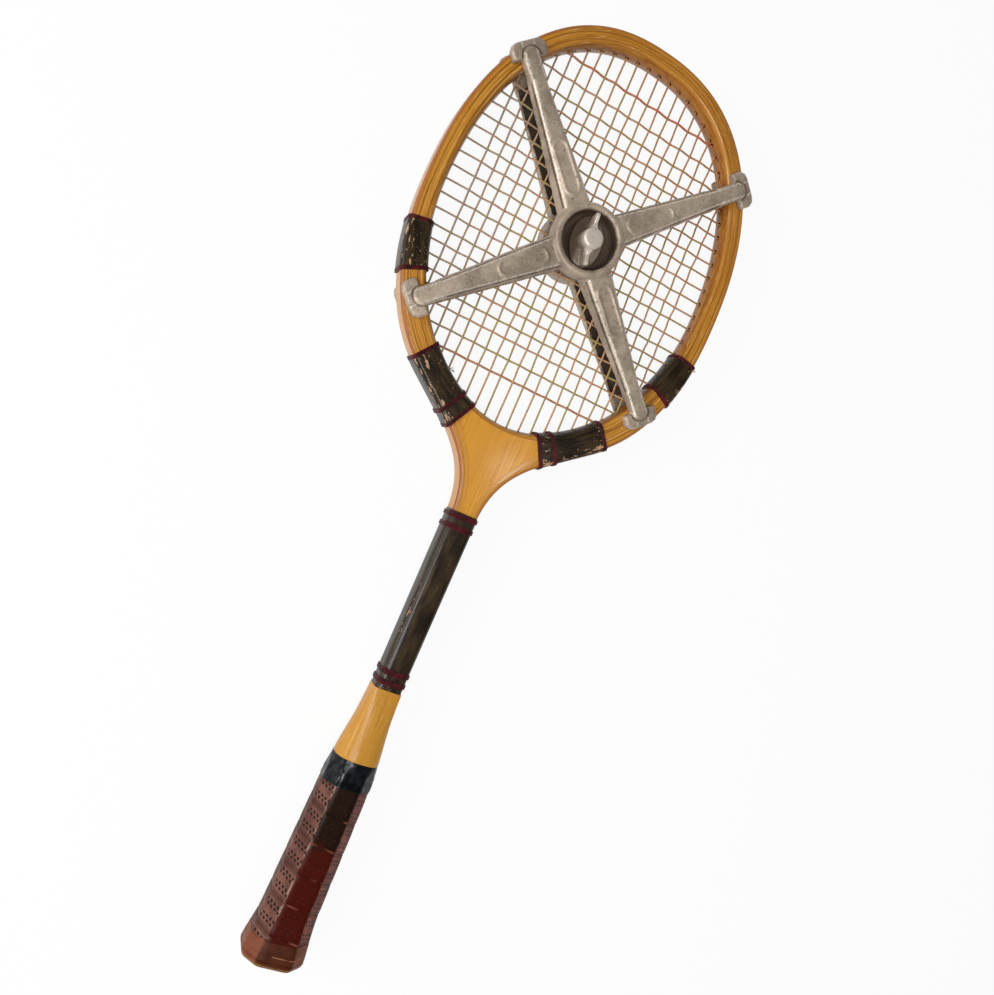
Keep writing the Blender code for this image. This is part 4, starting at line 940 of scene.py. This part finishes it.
def build_strap():
    """Leather strap wound up the handle: a flat section with thinned edges carried along a helix.
    The map is (length along the strap, place across it, share of a turn)."""
    low, high = BOARD_END, STRAP_TOP
    width = STRAP_PITCH - STRAP_SEAM
    turns = (high - low + width) / STRAP_PITCH
    turn = np.arange(int(turns * STRAP_STEPS) + 1)[:, None] / STRAP_STEPS
    centre = low - width / 2 + turn * STRAP_PITCH
    start = np.clip(centre - width / 2, low, high - STRAP_END_WIDTH)
    end = np.clip(centre + width / 2, low + STRAP_END_WIDTH, high)
    edge, lift = np.array(STRAP_EDGE).T
    across = join(edge, 1 - edge[-2::-1], STRAP_UNDER)
    lift = join(lift, lift[-2::-1], np.full(len(STRAP_UNDER), FIT))
    x = lerp(start, end, across)
    grow = np.where(x < BUTT_SKIN_END, np.minimum(lift, STRAP_OUT - SKIN_SINK), lift)
    grid = handle_ring(x, grow, GRIP_CORNER, STRAP_START - turn)
    strap = vectors(turn * STRAP_TURN_LENGTH, again(x - centre), turn)
    grip = make_object("leather_strap", [sheet(grid, (False, True), strap=strap)])
    dress(grip, LEATHER, "grip_leather", "grip_strap")


def build_collar():
    """Thin tape over the strap's end, stepping down to the wood, in slightly uneven turns."""
    x = np.linspace(*COLLAR, 40)
    step_down = np.interp(x, *COLLAR_STEP)
    inside = np.interp(x, [STRAP_TOP - 0.2, STRAP_TOP + 0.2], [STRAP_OUT + FIT, FIT])
    inside = np.minimum(inside, step_down - FIT)
    ripple = COLLAR_RIPPLE * np.sin(x[:, None] * 1.1 + 2 * np.sin(AROUND * 6 * math.pi))
    corner = np.interp(x, [STRAP_TOP + 1, COLLAR[1] - 2], [GRIP_CORNER, CONE_CORNER])[:, None]
    inner = handle_ring(x[:, None], inside[:, None], corner)
    outer = handle_ring(x[:, None], step_down[:, None] + COLLAR_TAPE + ripple, corner)
    dress(make_object("collar_tape_wrap", [sleeve(outer, inner)]), TAPE, "navy_tape", "collar_tape")


def build_butt():
    """The covered end of the handle: a quarter-elliptic rounding down to a flat end, and its leather
    carried on as a thin skin over the strap's first turn."""
    turn = np.linspace(0.0, QUARTER, 12)
    inset = BUTT_CAP_ROUND * (1 - np.cos(turn))
    bevel = HANDLE[0][3] + (STRAP_OUT - inset) * BEVEL_GROWTH
    corners = octagons(BUTT_CAP_HALF[0] - inset, BUTT_CAP_HALF[1] - inset, bevel)
    ring = rounded_ring(corners[:, None], AROUND, GRIP_CORNER)
    x = BUTT_CAP_THICKNESS * (1 - np.sin(turn))
    cap = make_object("butt_leather_cap", [sheet(vectors(x[:, None], ring[..., 0], ring[..., 1]))])
    dress(cap, BUTT, "butt_leather", "butt_cap")
    x = join([BUTT_CAP_THICKNESS + 0.02], np.linspace(6.2, BUTT_SKIN_END, 20), [BUTT_SKIN_END + 0.3])[:, None]
    grow = np.interp(x, *BUTT_SKIN)
    grow[0] = 1.98
    outer = handle_ring(x, grow, GRIP_CORNER)
    inner = handle_ring(x, STRAP_OUT - 0.3, GRIP_CORNER)
    dress(make_object("butt_leather_skirt", [sleeve(outer, inner)]), BUTT, "butt_leather")


# Whippings and threads

def rim_outline(width, grow, slants):
    """Closed outline round the rim, pushed outwards along its own normals.
    Slants stretch each side of it where a section crosses the rim askew."""
    inset, drop = edge_curve(7)
    turn = np.linspace(0.0, QUARTER, len(inset))
    nose = np.linspace(0.0, QUARTER, 11)
    u = join(inset, NOSE * (1 - np.sin(nose)))
    v = join(RIM_HALF - drop, RIM_HALF * np.cos(nose))
    out, up = unit(vectors(join(-np.cos(turn), np.sin(nose) * RIM_HALF),
                           join(np.sin(turn), np.cos(nose) * NOSE))).T
    near = np.arange(len(u)) < len(inset)
    u = np.where(near, (u + grow * out) * slants[0], width - (u - grow * out) * slants[1])
    v = v + grow * up
    flat = np.linspace(u[len(inset) - 1], u[len(inset)], 8)[1:-1]
    u = join(u[near], flat, u[~near])
    v = join(v[near], np.full(len(flat), RIM_HALF + grow), v[~near])
    return join(u, u[-2::-1]), join(v, -v[-2::-1])


def slants_across(line, other):
    """How much longer each line from one edge to the other is than a square crossing."""
    crossing = other - line
    run = np.gradient(line, axis=0)
    square = np.abs(crossing[:, 0] * run[:, 1] - crossing[:, 1] * run[:, 0])
    return np.linalg.norm(crossing, axis=1) * np.linalg.norm(run, axis=1) / square


def even_points(points, shares):
    """Points at even shares of a line's length."""
    along = lengths(points)
    return vectors(*(np.interp(shares * along[-1], along, values) for values in points.T))


def whip_lines(zone):
    """Outer and inner edge of the rim along a whipping."""
    if zone == "upper":
        return oval(0.0, np.linspace(*UPPER_WHIP_OUTER, 60)), oval(1.0, np.linspace(*UPPER_WHIP_INNER, 60))
    outer = join(oval(0.0, np.linspace(LOWER_WHIP_OUTER[0], BOW_TURN, 30)),
                 leg(0.0, np.linspace(0.0, LOWER_WHIP_OUTER[1], 30)[1:]))
    return outer, oval(1.0, np.linspace(*LOWER_WHIP_INNER, 60))


def rim_sleeve(zone, side, shares, grow, base):
    """A sleeve round the rim at shares of a whipping's length, with its own height at each.
    The map is (along the wood, round it, number of the winding)."""
    outer_line, inner_line = whip_lines(zone)
    outer, inner = even_points(outer_line, shares), even_points(inner_line, shares)
    slants = vectors(slants_across(outer, inner), slants_across(inner, outer))
    width = np.linalg.norm(inner - outer, axis=1)
    direction = (inner - outer) / width[:, None]
    shells = []
    for push in (grow, base):
        push = np.broadcast_to(push, len(shares))
        u, v = np.moveaxis([rim_outline(*row) for row in zip(width, push, slants)], 1, 0)
        plan = outer[:, None] + direction[:, None] * u[..., None]
        shells.append(vectors(plan[..., 0], plan[..., 1] * side, v))
    round_it = np.linspace(0.0, WHIP_GIRTH, shells[0].shape[1] + 1)
    wind = vectors(shares[:, None] * lengths(outer_line)[-1], round_it, side * WHIP_NUMBERS[zone])
    return sleeve(*shells, wind=wind)


def thread_heights(count, steps):
    """Round ridges side by side, as neighbouring turns of thread have."""
    place = np.linspace(0.0, count, count * steps + 1)
    low, size = BAND_RIDGE
    return place / count, low + size * np.sqrt(np.clip(1 - (place % 1.0 * 2 - 1) ** 2, 0.0, 1.0))


def build_whippings():
    share, ridge = thread_heights(BAND_THREADS, 8)
    for zone in ("upper", "lower"):
        band = BAND_WIDTH / lengths(whip_lines(zone)[0])[-1]
        bands = {"top": (0.0, WHIP_BASE, 0.0), "bottom": (1 - band, WHIP_BASE, 0.0)}
        if zone == "lower":
            bands["middle"] = (MIDDLE_BAND_PLACE, WHIP_OUT - 0.2, MIDDLE_BAND_LIFT)
        for label, side in (("left", 1), ("right", -1)):
            cover = make_object(f"whipping_{zone}_{label}_lacquer", [rim_sleeve(
                zone, side, np.linspace(band, 1 - band, 60), WHIP_OUT, WHIP_BASE)], 50.0)
            dress(cover, WHIPPING, "dark_whipping", f"whipping_{zone}_{label}")
            for place, (start, base, lift) in bands.items():
                threads = make_object(f"thread_{zone}_{label}_{place}_turns", [rim_sleeve(
                    zone, side, start + share * band, ridge + lift, base)], 60.0)
                dress(threads, MAROON, "maroon_thread", f"thread_{zone}_{label}_{place}")


def shaft_ring(x, share, grow):
    """Points round the shaft: a rectangle with its corners cut off and rounded."""
    x, share = np.broadcast_arrays(x, share)
    spread = 1 - (x - SHAFT_TOP) / LEG_PULL_SHAFT / 3
    top = np.linspace(0.8, 1.0, 40)
    above = np.interp(spread, top, leg(0.0, top)[:, 1])
    half_width = np.where(x > SHAFT_TOP, np.maximum(above, SHAFT_HALF_WIDTH), shaft_edge(0.0, x))
    ring = rounded_ring(octagons(half_width + grow, SHAFT_HALF + grow, WRAP_BEVEL + 0.3 * grow), share,
                        WRAP_CORNER)
    return vectors(x, ring[..., 0], ring[..., 1])


def build_shaft():
    """The shaft's lacquered wrap, and four windings of thread that run round it as helices."""
    x = join(np.linspace(WRAP_ENDS[0], SHAFT_TOP, 60), np.linspace(SHAFT_TOP + 0.5, WRAP_ENDS[1], 8))[:, None]
    share = np.arange(WRAP_COLUMNS) / WRAP_COLUMNS
    wind = vectors(x, np.linspace(0.0, WRAP_GIRTH, WRAP_COLUMNS + 1), WHIP_NUMBERS["shaft"])
    wrap = sleeve(shaft_ring(x, share, WRAP_OUT), shaft_ring(x, share, FIT), wind=wind)
    dress(make_object("shaft_wrap_lacquer", [wrap]), WHIPPING, "dark_whipping", "shaft_wrap")
    turn = np.linspace(0.0, WINDING_TURNS, int(WINDING_TURNS * 72))
    for name, place in WINDINGS.items():
        x = place - THREAD * (turn - WINDING_TURNS / 2)
        path = shaft_ring(x, turn % 1.0, WRAP_OUT + THREAD / 2 - 0.1)
        thread = sheet(tube(path, THREAD / 2, (1.0, 0.0, 0.0))[0])
        dress(make_object(f"{name}_thread", [thread], 60.0), MAROON, "maroon_thread", name)


def build_loose_ends():
    """Frayed ends of thread that stand out of two whippings: each is a line that bends away by the
    square of its length."""
    rng = np.random.default_rng(11)
    strands = []
    for start in LOOSE_ENDS:
        for _ in range(LOOSE_STRANDS):
            heading = math.radians(LOOSE_HEADING + rng.uniform(-30, 30))
            way = np.array((math.cos(heading), math.sin(heading), rng.uniform(-0.4, 0.5)))
            reach = np.linspace(-1.5, rng.uniform(2.0, LOOSE_LENGTH), 10)[:, None]
            bend = rng.uniform(-1.6, 1.6, 3) * (np.maximum(reach, 0.0) / LOOSE_LENGTH) ** 2
            strands.append(sheet(tube(start + way * reach + bend, LOOSE_RADIUS, (0.0, 0.0, 1.0), 6)[0]))
    dress(make_object("loose_thread_ends", strands, 60.0), MAROON, "maroon_thread")


# Strings

def woven_path(fixed, low, high, crossings, first, height, crosswise):
    """A string that passes over and under its crossings: its height is a cosine that turns by half a
    turn from one crossing to the next and is level with the wood's hole at each end."""
    inside = [(k, place) for k, place in enumerate(crossings) if low + 1.0 < place < high - 1.0]
    numbers = [inside[0][0] - 0.5] + [k for k, _ in inside] + [inside[-1][0] + 0.5]
    places = [low] + [place for _, place in inside] + [high]
    run = np.linspace(low - STRING_OVERRUN, high + STRING_OVERRUN, int((high - low) / 1.5))
    lift = height * np.cos(math.pi * (np.interp(run, places, numbers) + first))
    lift = np.where((run < low) | (run > high), 0.0, lift)
    sway = SWAY * np.sin(run * 0.021 + fixed * 1.7) * np.sin(math.pi * (run - low) / (high - low))
    return vectors(fixed + sway, run, -lift) if crosswise else vectors(run, fixed + sway, lift)


def build_strings(mains, crosses):
    """The woven strings and the two cords. A string's map ends in its lean to one colour or another."""
    rng = np.random.default_rng(5)
    sides = [main[0] for main in mains]
    paths = {name: [] for name in STRINGS}
    for k, main in enumerate(mains):
        lean = k % 2 * 0.7 + rng.uniform(0, 0.3)
        paths["string_mains"].append((woven_path(*main, CROSSES, k, WEAVE, False), STRING_RADIUS, lean))
    for k, cross in enumerate(crosses):
        if 0 < k < len(crosses) - 1:
            lean = k % 2 * 0.7 + rng.uniform(0, 0.3)
            paths["string_crosses"].append((woven_path(*cross, sides, k, WEAVE, True), STRING_RADIUS, lean))
        else:
            name = "trebling_upper" if k else "trebling_lower"
            paths[name].append((woven_path(*cross, sides, k, CORD_WEAVE, True), CORD_RADIUS, 0.3))
    for name, (finish, slot, node) in STRINGS.items():
        sheets = []
        for path, radius, lean in paths[name]:
            grid, run = tube(path, radius, (0.0, 0.0, 1.0))
            run[..., 2] = lean
            sheets.append(sheet(grid, run=run))
        dress(make_object(name, sheets, 60.0), finish, slot, node)


# Press

def stack_plate(outline, heights, insets, centre):
    """A plate from an outline that is drawn in towards a centre at each height."""
    spokes = np.asarray(outline, float) - centre
    reach = np.linalg.norm(spokes, axis=1, keepdims=True)
    plan = np.array(centre) + spokes * (1 - np.array(insets)[:, None, None] / reach)
    return vectors(plan[..., 0], plan[..., 1], np.array(heights)[:, None])


def turned_about(grid, degrees, centre_x=0.0):
    """Turned about Z and moved along X."""
    angle = math.radians(degrees)
    cos, sin = math.cos(angle), math.sin(angle)
    x, y, z = np.moveaxis(grid, -1, 0)
    return vectors(centre_x + x * cos - y * sin, x * sin + y * cos, z)


def hub():
    """The hub's front half: a cup round the bolt's hole, with a half-oval lip."""
    inner, (low, floor), hole = HUB_RADIUS - HUB_WALL, HUB_FLOOR, BOLT_RADIUS + 0.3
    lip = [(HUB_RADIUS - HUB_WALL / 2 * (1 - math.cos(t)), HUB_TOP - HUB_LIP * (1 - math.sin(t)))
           for t in np.linspace(0.0, math.pi, 11)]
    return turned([(hole, low), (HUB_RADIUS - 1.2, low), (HUB_RADIUS, low + 1.2), *lip,
                   (inner - 0.6, floor + 3.2), (inner - 2.4, floor + 1.4), (14.6, floor + 1.2), (13.2, floor),
                   (hole, floor)])


def arm_channel():
    """An arm's channel section: drafted sides, a round shoulder, open towards the strings."""
    rows = []
    for share in np.linspace(0.0, 1.0, 12):
        half, top, base = (lerp(*pair, share) for pair in (ARM_HALF, ARM_TOP, ARM_UNDERSIDE))
        shoulder = half - ARM_DRAFT - ARM_FILLET
        outer = [(half, base)] + [(shoulder + ARM_FILLET * math.cos(t), top - ARM_FILLET * (1 - math.sin(t)))
                                  for t in np.linspace(0.0, QUARTER, 7)]
        inner = [(half - ARM_DRAFT - ARM_WALL * 0.8, top - ARM_WEB), (half - ARM_WALL, base)]
        across, height = np.array(outer + [(-v, z) for v, z in reversed(outer)]
                                  + [(-v, z) for v, z in reversed(inner)] + inner).T
        rows.append(vectors(lerp(ARM_START, CHANNEL_END, share), across, height))
    return np.array(rows)


def arm_end():
    """The flat end of an arm, round towards the rim."""
    top = ARM_TOP[1]
    arc = [(END_CENTRE + END_HALF * math.cos(t), END_HALF * math.sin(t)) for t in HALF_TURN]
    outline = [(CHANNEL_END - 3.0, -END_HALF), *arc, (CHANNEL_END - 3.0, END_HALF)]
    return stack_plate(outline, [END_BASE, top - 2.4, top - 0.8, top], [-0.6, 0.0, 0.7, 2.4],
                       (END_CENTRE - 4.0, 0.0))


def arm_foot():
    """The foot over the rim: a plate with its far corners cut off in two steps."""
    near, far, wide, corner = ARM_REACH - FOOT_LENGTH, ARM_REACH, FOOT_HALF, FOOT_CORNER
    side = [(near, wide - 1.0), (near + 1.0, wide), (far - corner, wide), (far - 1.1, wide - 0.55 * corner),
            (far, wide - 1.4 * corner)]
    return stack_plate([(x, -y) for x, y in side] + side[::-1], [FOOT[0], FOOT[1] - 1.4, FOOT[1]],
                       [0.0, 0.0, 1.6], (ARM_REACH - FOOT_LENGTH / 2, 0.0))


def arm_bead():
    """A round bead, one millimetre in radius, along the outline on an arm's top."""
    near, far, radius = CARTOUCHE
    round_end = radius * vectors(np.cos(HALF_TURN), np.sin(HALF_TURN))
    x, y = join(round_end + (far, 0.0), -round_end + (near, 0.0)).T
    path = vectors(x, y, lerp(*ARM_TOP, ramp(x, ARM_START, CHANNEL_END)) - CARTOUCHE_SINK)
    side = unit(np.cross(np.roll(path, -1, 0) - np.roll(path, 1, 0), (0.0, 0.0, 1.0)))
    turn = np.arange(8)[:, None] * math.pi / 4
    return path[:, None] + side[:, None] * np.cos(turn) + np.array((0.0, 0.0, 1.0)) * np.sin(turn)


def press_sheets(sign):
    """Hub and four arms with their outlines, ends and feet, as overlapping closed sheets."""
    sheets = [sheet(hub() * (1, 1, sign), (True, True))]
    for angle in ARM_ANGLES:
        for make, closed in ((arm_bead, True), (arm_channel, False), (arm_end, False), (arm_foot, False)):
            sheets.append(sheet(turned_about(make() * (1, 1, sign), angle), (closed, True)))
    return sheets


def cast_solid(name, grids, voxel, wear):
    """Overlapping sheets melted into one skin of small faces, with every corner softened.
    Wear gives the map of grime with painted shade and of rubbed edges with painted highlights, from
    places about the clamp's line."""
    solid = make_object(name, grids)
    melt = solid.modifiers.new("melt", 'REMESH')
    melt.mode = 'VOXEL'
    melt.voxel_size = voxel * MM
    soften = solid.modifiers.new("soften", 'SMOOTH')
    soften.factor = 0.5
    soften.iterations = CAST_SMOOTHING
    apply_modifiers(solid)
    mesh = solid.data
    places = np.empty(len(mesh.vertices) * 3)
    mesh.vertices.foreach_get("co", places)
    places = places.reshape(-1, 3) / MM
    mesh.attributes.new("wear", 'FLOAT_VECTOR', 'POINT').data.foreach_set("vector", wear(places).ravel())
    mesh.vertices.foreach_set("co", (turned_about(places, PRESS_TURN, PRESS_AT) * MM).ravel())
    mesh.update()
    mesh.shade_smooth()
    return solid


def press_wear_and_painted_light(places):
    """Grime and painted shade lie in the cup, in the channels, along the undersides and at the feet's steps,
    and edges are rubbed bright and carry painted highlights.
    """
    radius = np.hypot(places[:, 0], places[:, 1])
    height = np.abs(places[:, 2])
    angle = (np.degrees(np.arctan2(places[:, 1], places[:, 0])) - ARM_ANGLES[0] + 45.0) % 90.0 - 45.0
    along, across = radius * np.cos(np.radians(angle)), np.abs(radius * np.sin(np.radians(angle)))
    share = ramp(along, ARM_START, CHANNEL_END)
    half, top, base = (lerp(*pair, share) for pair in (ARM_HALF, ARM_TOP, ARM_UNDERSIDE))
    cup = ramp(radius, HUB_RADIUS - 1.6, HUB_RADIUS - 5.0) * ramp(height, HUB_TOP + 1.0, HUB_TOP - 3.6)
    arm = ramp(along, HUB_RADIUS - 1.0, HUB_RADIUS + 0.5)
    channel = (arm * ramp(across, half - 1.2, half - 2.0) * ramp(height, top - 1.2, top - 2.2)
               * ramp(along, CHANNEL_END + 1.0, CHANNEL_END))
    # Painted shade along the undersides
    under_shade = ramp(height, base + 1.4, base + 0.2) * 0.35
    reach = np.hypot(np.maximum(along - (ARM_REACH - 4.0 - ARM_HALF[1]), 0.0), across)
    # Painted shade in the crease where each arm's end meets its foot
    crease_shade = (ramp(np.abs(reach - ARM_HALF[1] + 0.3), 1.1, 0.4) * ramp(along, CHANNEL_END, CHANNEL_END + 3.0)
              * ramp(np.abs(height - FOOT[1]), 0.9, 0.3))
    hollow_grime_and_shade = np.maximum.reduce([cup, channel, under_shade, crease_shade * 0.7])
    # Rubbed wear and painted highlights along the arms' shoulders; the hub's lip is rubbed
    shoulder = (arm * ramp(np.abs(across - half + ARM_DRAFT + 1.2), 1.6, 0.4)
                * ramp(height, top - 2.0, top - 1.0))
    lip = (ramp(np.abs(radius - HUB_RADIUS + HUB_WALL / 2), 2.6, 1.0)
           * ramp(height, HUB_TOP - 1.5, HUB_TOP - 0.4))
    return vectors(hollow_grime_and_shade, np.maximum(shoulder * 0.8, lip * 0.25) * (1 - hollow_grime_and_shade), 0.0)


def nut_wear_and_painted_light(places):
    """The nut's flange is grimed and carries painted shadow, most on the left, and the tops of boss and wings
    are rubbed bright and carry painted highlights.
    """
    height = places[:, 2] - NUT_BASE
    # Grime with painted shadow on the flange, heavier on the left
    hollow_grime_and_shade = ramp(height, 7.0, 2.5) * lerp(0.35, 0.95, ramp(places[:, 1] + places[:, 0] * 0.4, -5.0, 3.0))
    return vectors(hollow_grime_and_shade, ramp(height, 8.0, 11.5), 0.0)


def nut_sheets():
    """Boss, oval flange and two upright wings of the nut."""
    wall = NUT_BOSS - 0.1
    boss = [(wall - NUT_ROUND * (1 - math.cos(t)), NUT_TOP - NUT_ROUND * (1 - math.sin(t)))
            for t in np.linspace(0.0, QUARTER, 7)]
    profile = [(0.0, NUT_TOP - 2.0), (NUT_BORE, NUT_TOP - 2.0), (NUT_BORE, NUT_BASE), (NUT_BOSS, NUT_BASE),
               *boss, (0.0, NUT_TOP)]
    angle = np.arange(72) * 2 * math.pi / 72
    outline = vectors(NUT_FLANGE[0] * np.cos(angle), NUT_FLANGE[1] * np.sin(angle))
    flange = stack_plate(outline, [NUT_BASE, NUT_BASE + 2.0, NUT_BASE + 3.0], [0.0, 0.0, 0.8], (0.0, 0.0))
    x, z = np.array(WING).T
    thick = lerp(*WING_THICK, ramp(x, 5.0, 9.7) ** 0.6)
    wings = [np.array([vectors(side * x, v * thick, z) for v in (-1, 1)]) for side in (1, -1)]
    return [sheet(turned(profile, 64))] + [sheet(turned_about(grid, NUT_TURN)) for grid in (flange, *wings)]


def build_press():
    for label, sign in (("front", 1), ("rear", -1)):
        half = cast_solid(f"press_{label}_casting", press_sheets(sign), CAST_VOXEL, press_wear_and_painted_light)
        dress(half, CAST, "cast_aluminium", f"press_{label}", body=f"press_{label}")
    nut = cast_solid("wing_nut_casting", nut_sheets(), NUT_VOXEL, nut_wear_and_painted_light)
    dress(nut, CAST, "cast_aluminium", "wing_nut", body="wing_nut")
    head, tip = -(HUB_FLOOR[1] + 0.3), NUT_TOP - 2.3
    dome = [(BOLT_HEAD[0] * math.sin(t), head - BOLT_HEAD[1] * math.cos(t) ** 0.8)
            for t in np.linspace(0.0, QUARTER, 14)]
    grid = turned([*dome, (BOLT_HEAD[0] - 0.2, head), (BOLT_RADIUS, head), (BOLT_RADIUS, tip - BOLT_TIP),
                   (BOLT_RADIUS - BOLT_TIP, tip), (0.0, tip)], 64)
    bolt = make_object("clamp_bolt_turned", [sheet(grid + (PRESS_AT, 0.0, 0.0))])
    dress(bolt, STEEL, "steel", "clamp_bolt", body="press_rear")
    for node, finish in (("nut_washer", STEEL), ("shaft_core", HANDLE_WOOD)):
        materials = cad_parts[node].data.materials
        materials.clear()
        materials.append(finish)


# Floor, light and camera

def build_floor():
    """A pale floor at the resting level, which shows itself lit from within to the camera and in gloss."""
    mesh = bpy.data.meshes.new("floor")
    corners = np.array(((-1, -1), (1, -1), (1, 1), (-1, 1))) * FLOOR_HALF
    mesh.from_pydata([(*corner, float(cad_low[2])) for corner in corners], [], [(0, 1, 2, 3)])
    floor = bpy.data.objects.new("floor", mesh)
    bpy.context.scene.collection.objects.link(floor)
    paint = Paint("pale_floor", Base_Color=(0.86, 0.86, 0.86, 1.0), Roughness=0.9)
    path = paint.tree.nodes.new("ShaderNodeLightPath")
    camera, glossy, through = (Wire(paint, path.outputs[name]) for name in
                               ("Is Camera Ray", "Is Glossy Ray", "Is Transmission Ray"))
    seen = (camera + glossy + through).math("MINIMUM", 1.0)
    glow = paint.node("ShaderNodeEmission", {}, WHITE)
    shaded = Wire(paint, paint.shader.outputs[0])
    blend = paint.node("ShaderNodeMixShader", {}, seen * FLOOR_GLOW, shaded, glow)
    output = next(node for node in paint.tree.nodes if node.type == 'OUTPUT_MATERIAL')
    paint.feed(output.inputs[0], blend)
    mesh.materials.append(paint.material)


def build_sky():
    """White light all round, weaker from above."""
    world = bpy.data.worlds.new("soft_room")
    bpy.context.scene.world = world
    world.use_nodes = True
    tree = world.node_tree
    background = tree.nodes["Background"]
    background.inputs["Color"].default_value = WHITE
    direction, split, strength = (tree.nodes.new(f"ShaderNode{kind}") for kind in
                                  ("TexCoord", "SeparateXYZ", "MapRange"))
    for socket, value in SKY.items():
        strength.inputs[socket].default_value = value
    tree.links.new(direction.outputs["Generated"], split.inputs[0])
    tree.links.new(split.outputs[2], strength.inputs["Value"])
    tree.links.new(strength.outputs[0], background.inputs["Strength"])


def add_lamp(name, place, aim, size, power):
    """A square soft lamp at a place in metres, turned to a point."""
    data = bpy.data.lights.new(name, 'AREA')
    data.shape = 'SQUARE'
    data.size = size
    data.energy = power
    lamp = bpy.data.objects.new(name, data)
    lamp.location = place
    lamp.rotation_euler = Vector(np.array(aim) - np.array(place)).to_track_quat('-Z', 'Y').to_euler()
    bpy.context.scene.collection.objects.link(lamp)


def build_camera():
    """The photograph's viewpoint, in metres, and its axes."""
    right, up = np.array(CAMERA_RIGHT), -np.array(CAMERA_DOWN)
    data = bpy.data.cameras.new("camera")
    data.sensor_width = 36.0
    data.lens = FOCAL_PIXELS / max(PHOTO_SIZE) * data.sensor_width
    camera = bpy.data.objects.new("camera", data)
    columns = np.stack([right, up, np.cross(right, up), np.array(CAMERA_PLACE)], -1)
    camera.matrix_world = Matrix([*map(list, columns), [0.0, 0.0, 0.0, 1.0]])
    bpy.context.scene.collection.objects.link(camera)
    bpy.context.scene.camera = camera


def main():
    build_camera()
    build_floor()
    build_sky()
    for name, settings in LAMPS.items():
        add_lamp(name, *settings)
    mains, crosses = string_ends()
    build_plies(mains, crosses)
    build_throat()
    build_handle()
    build_strap()
    build_collar()
    build_butt()
    build_whippings()
    build_shaft()
    build_loose_ends()
    build_strings(mains, crosses)
    build_press()
    bpy.context.scene.view_settings.view_transform = 'Standard'
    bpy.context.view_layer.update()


main()
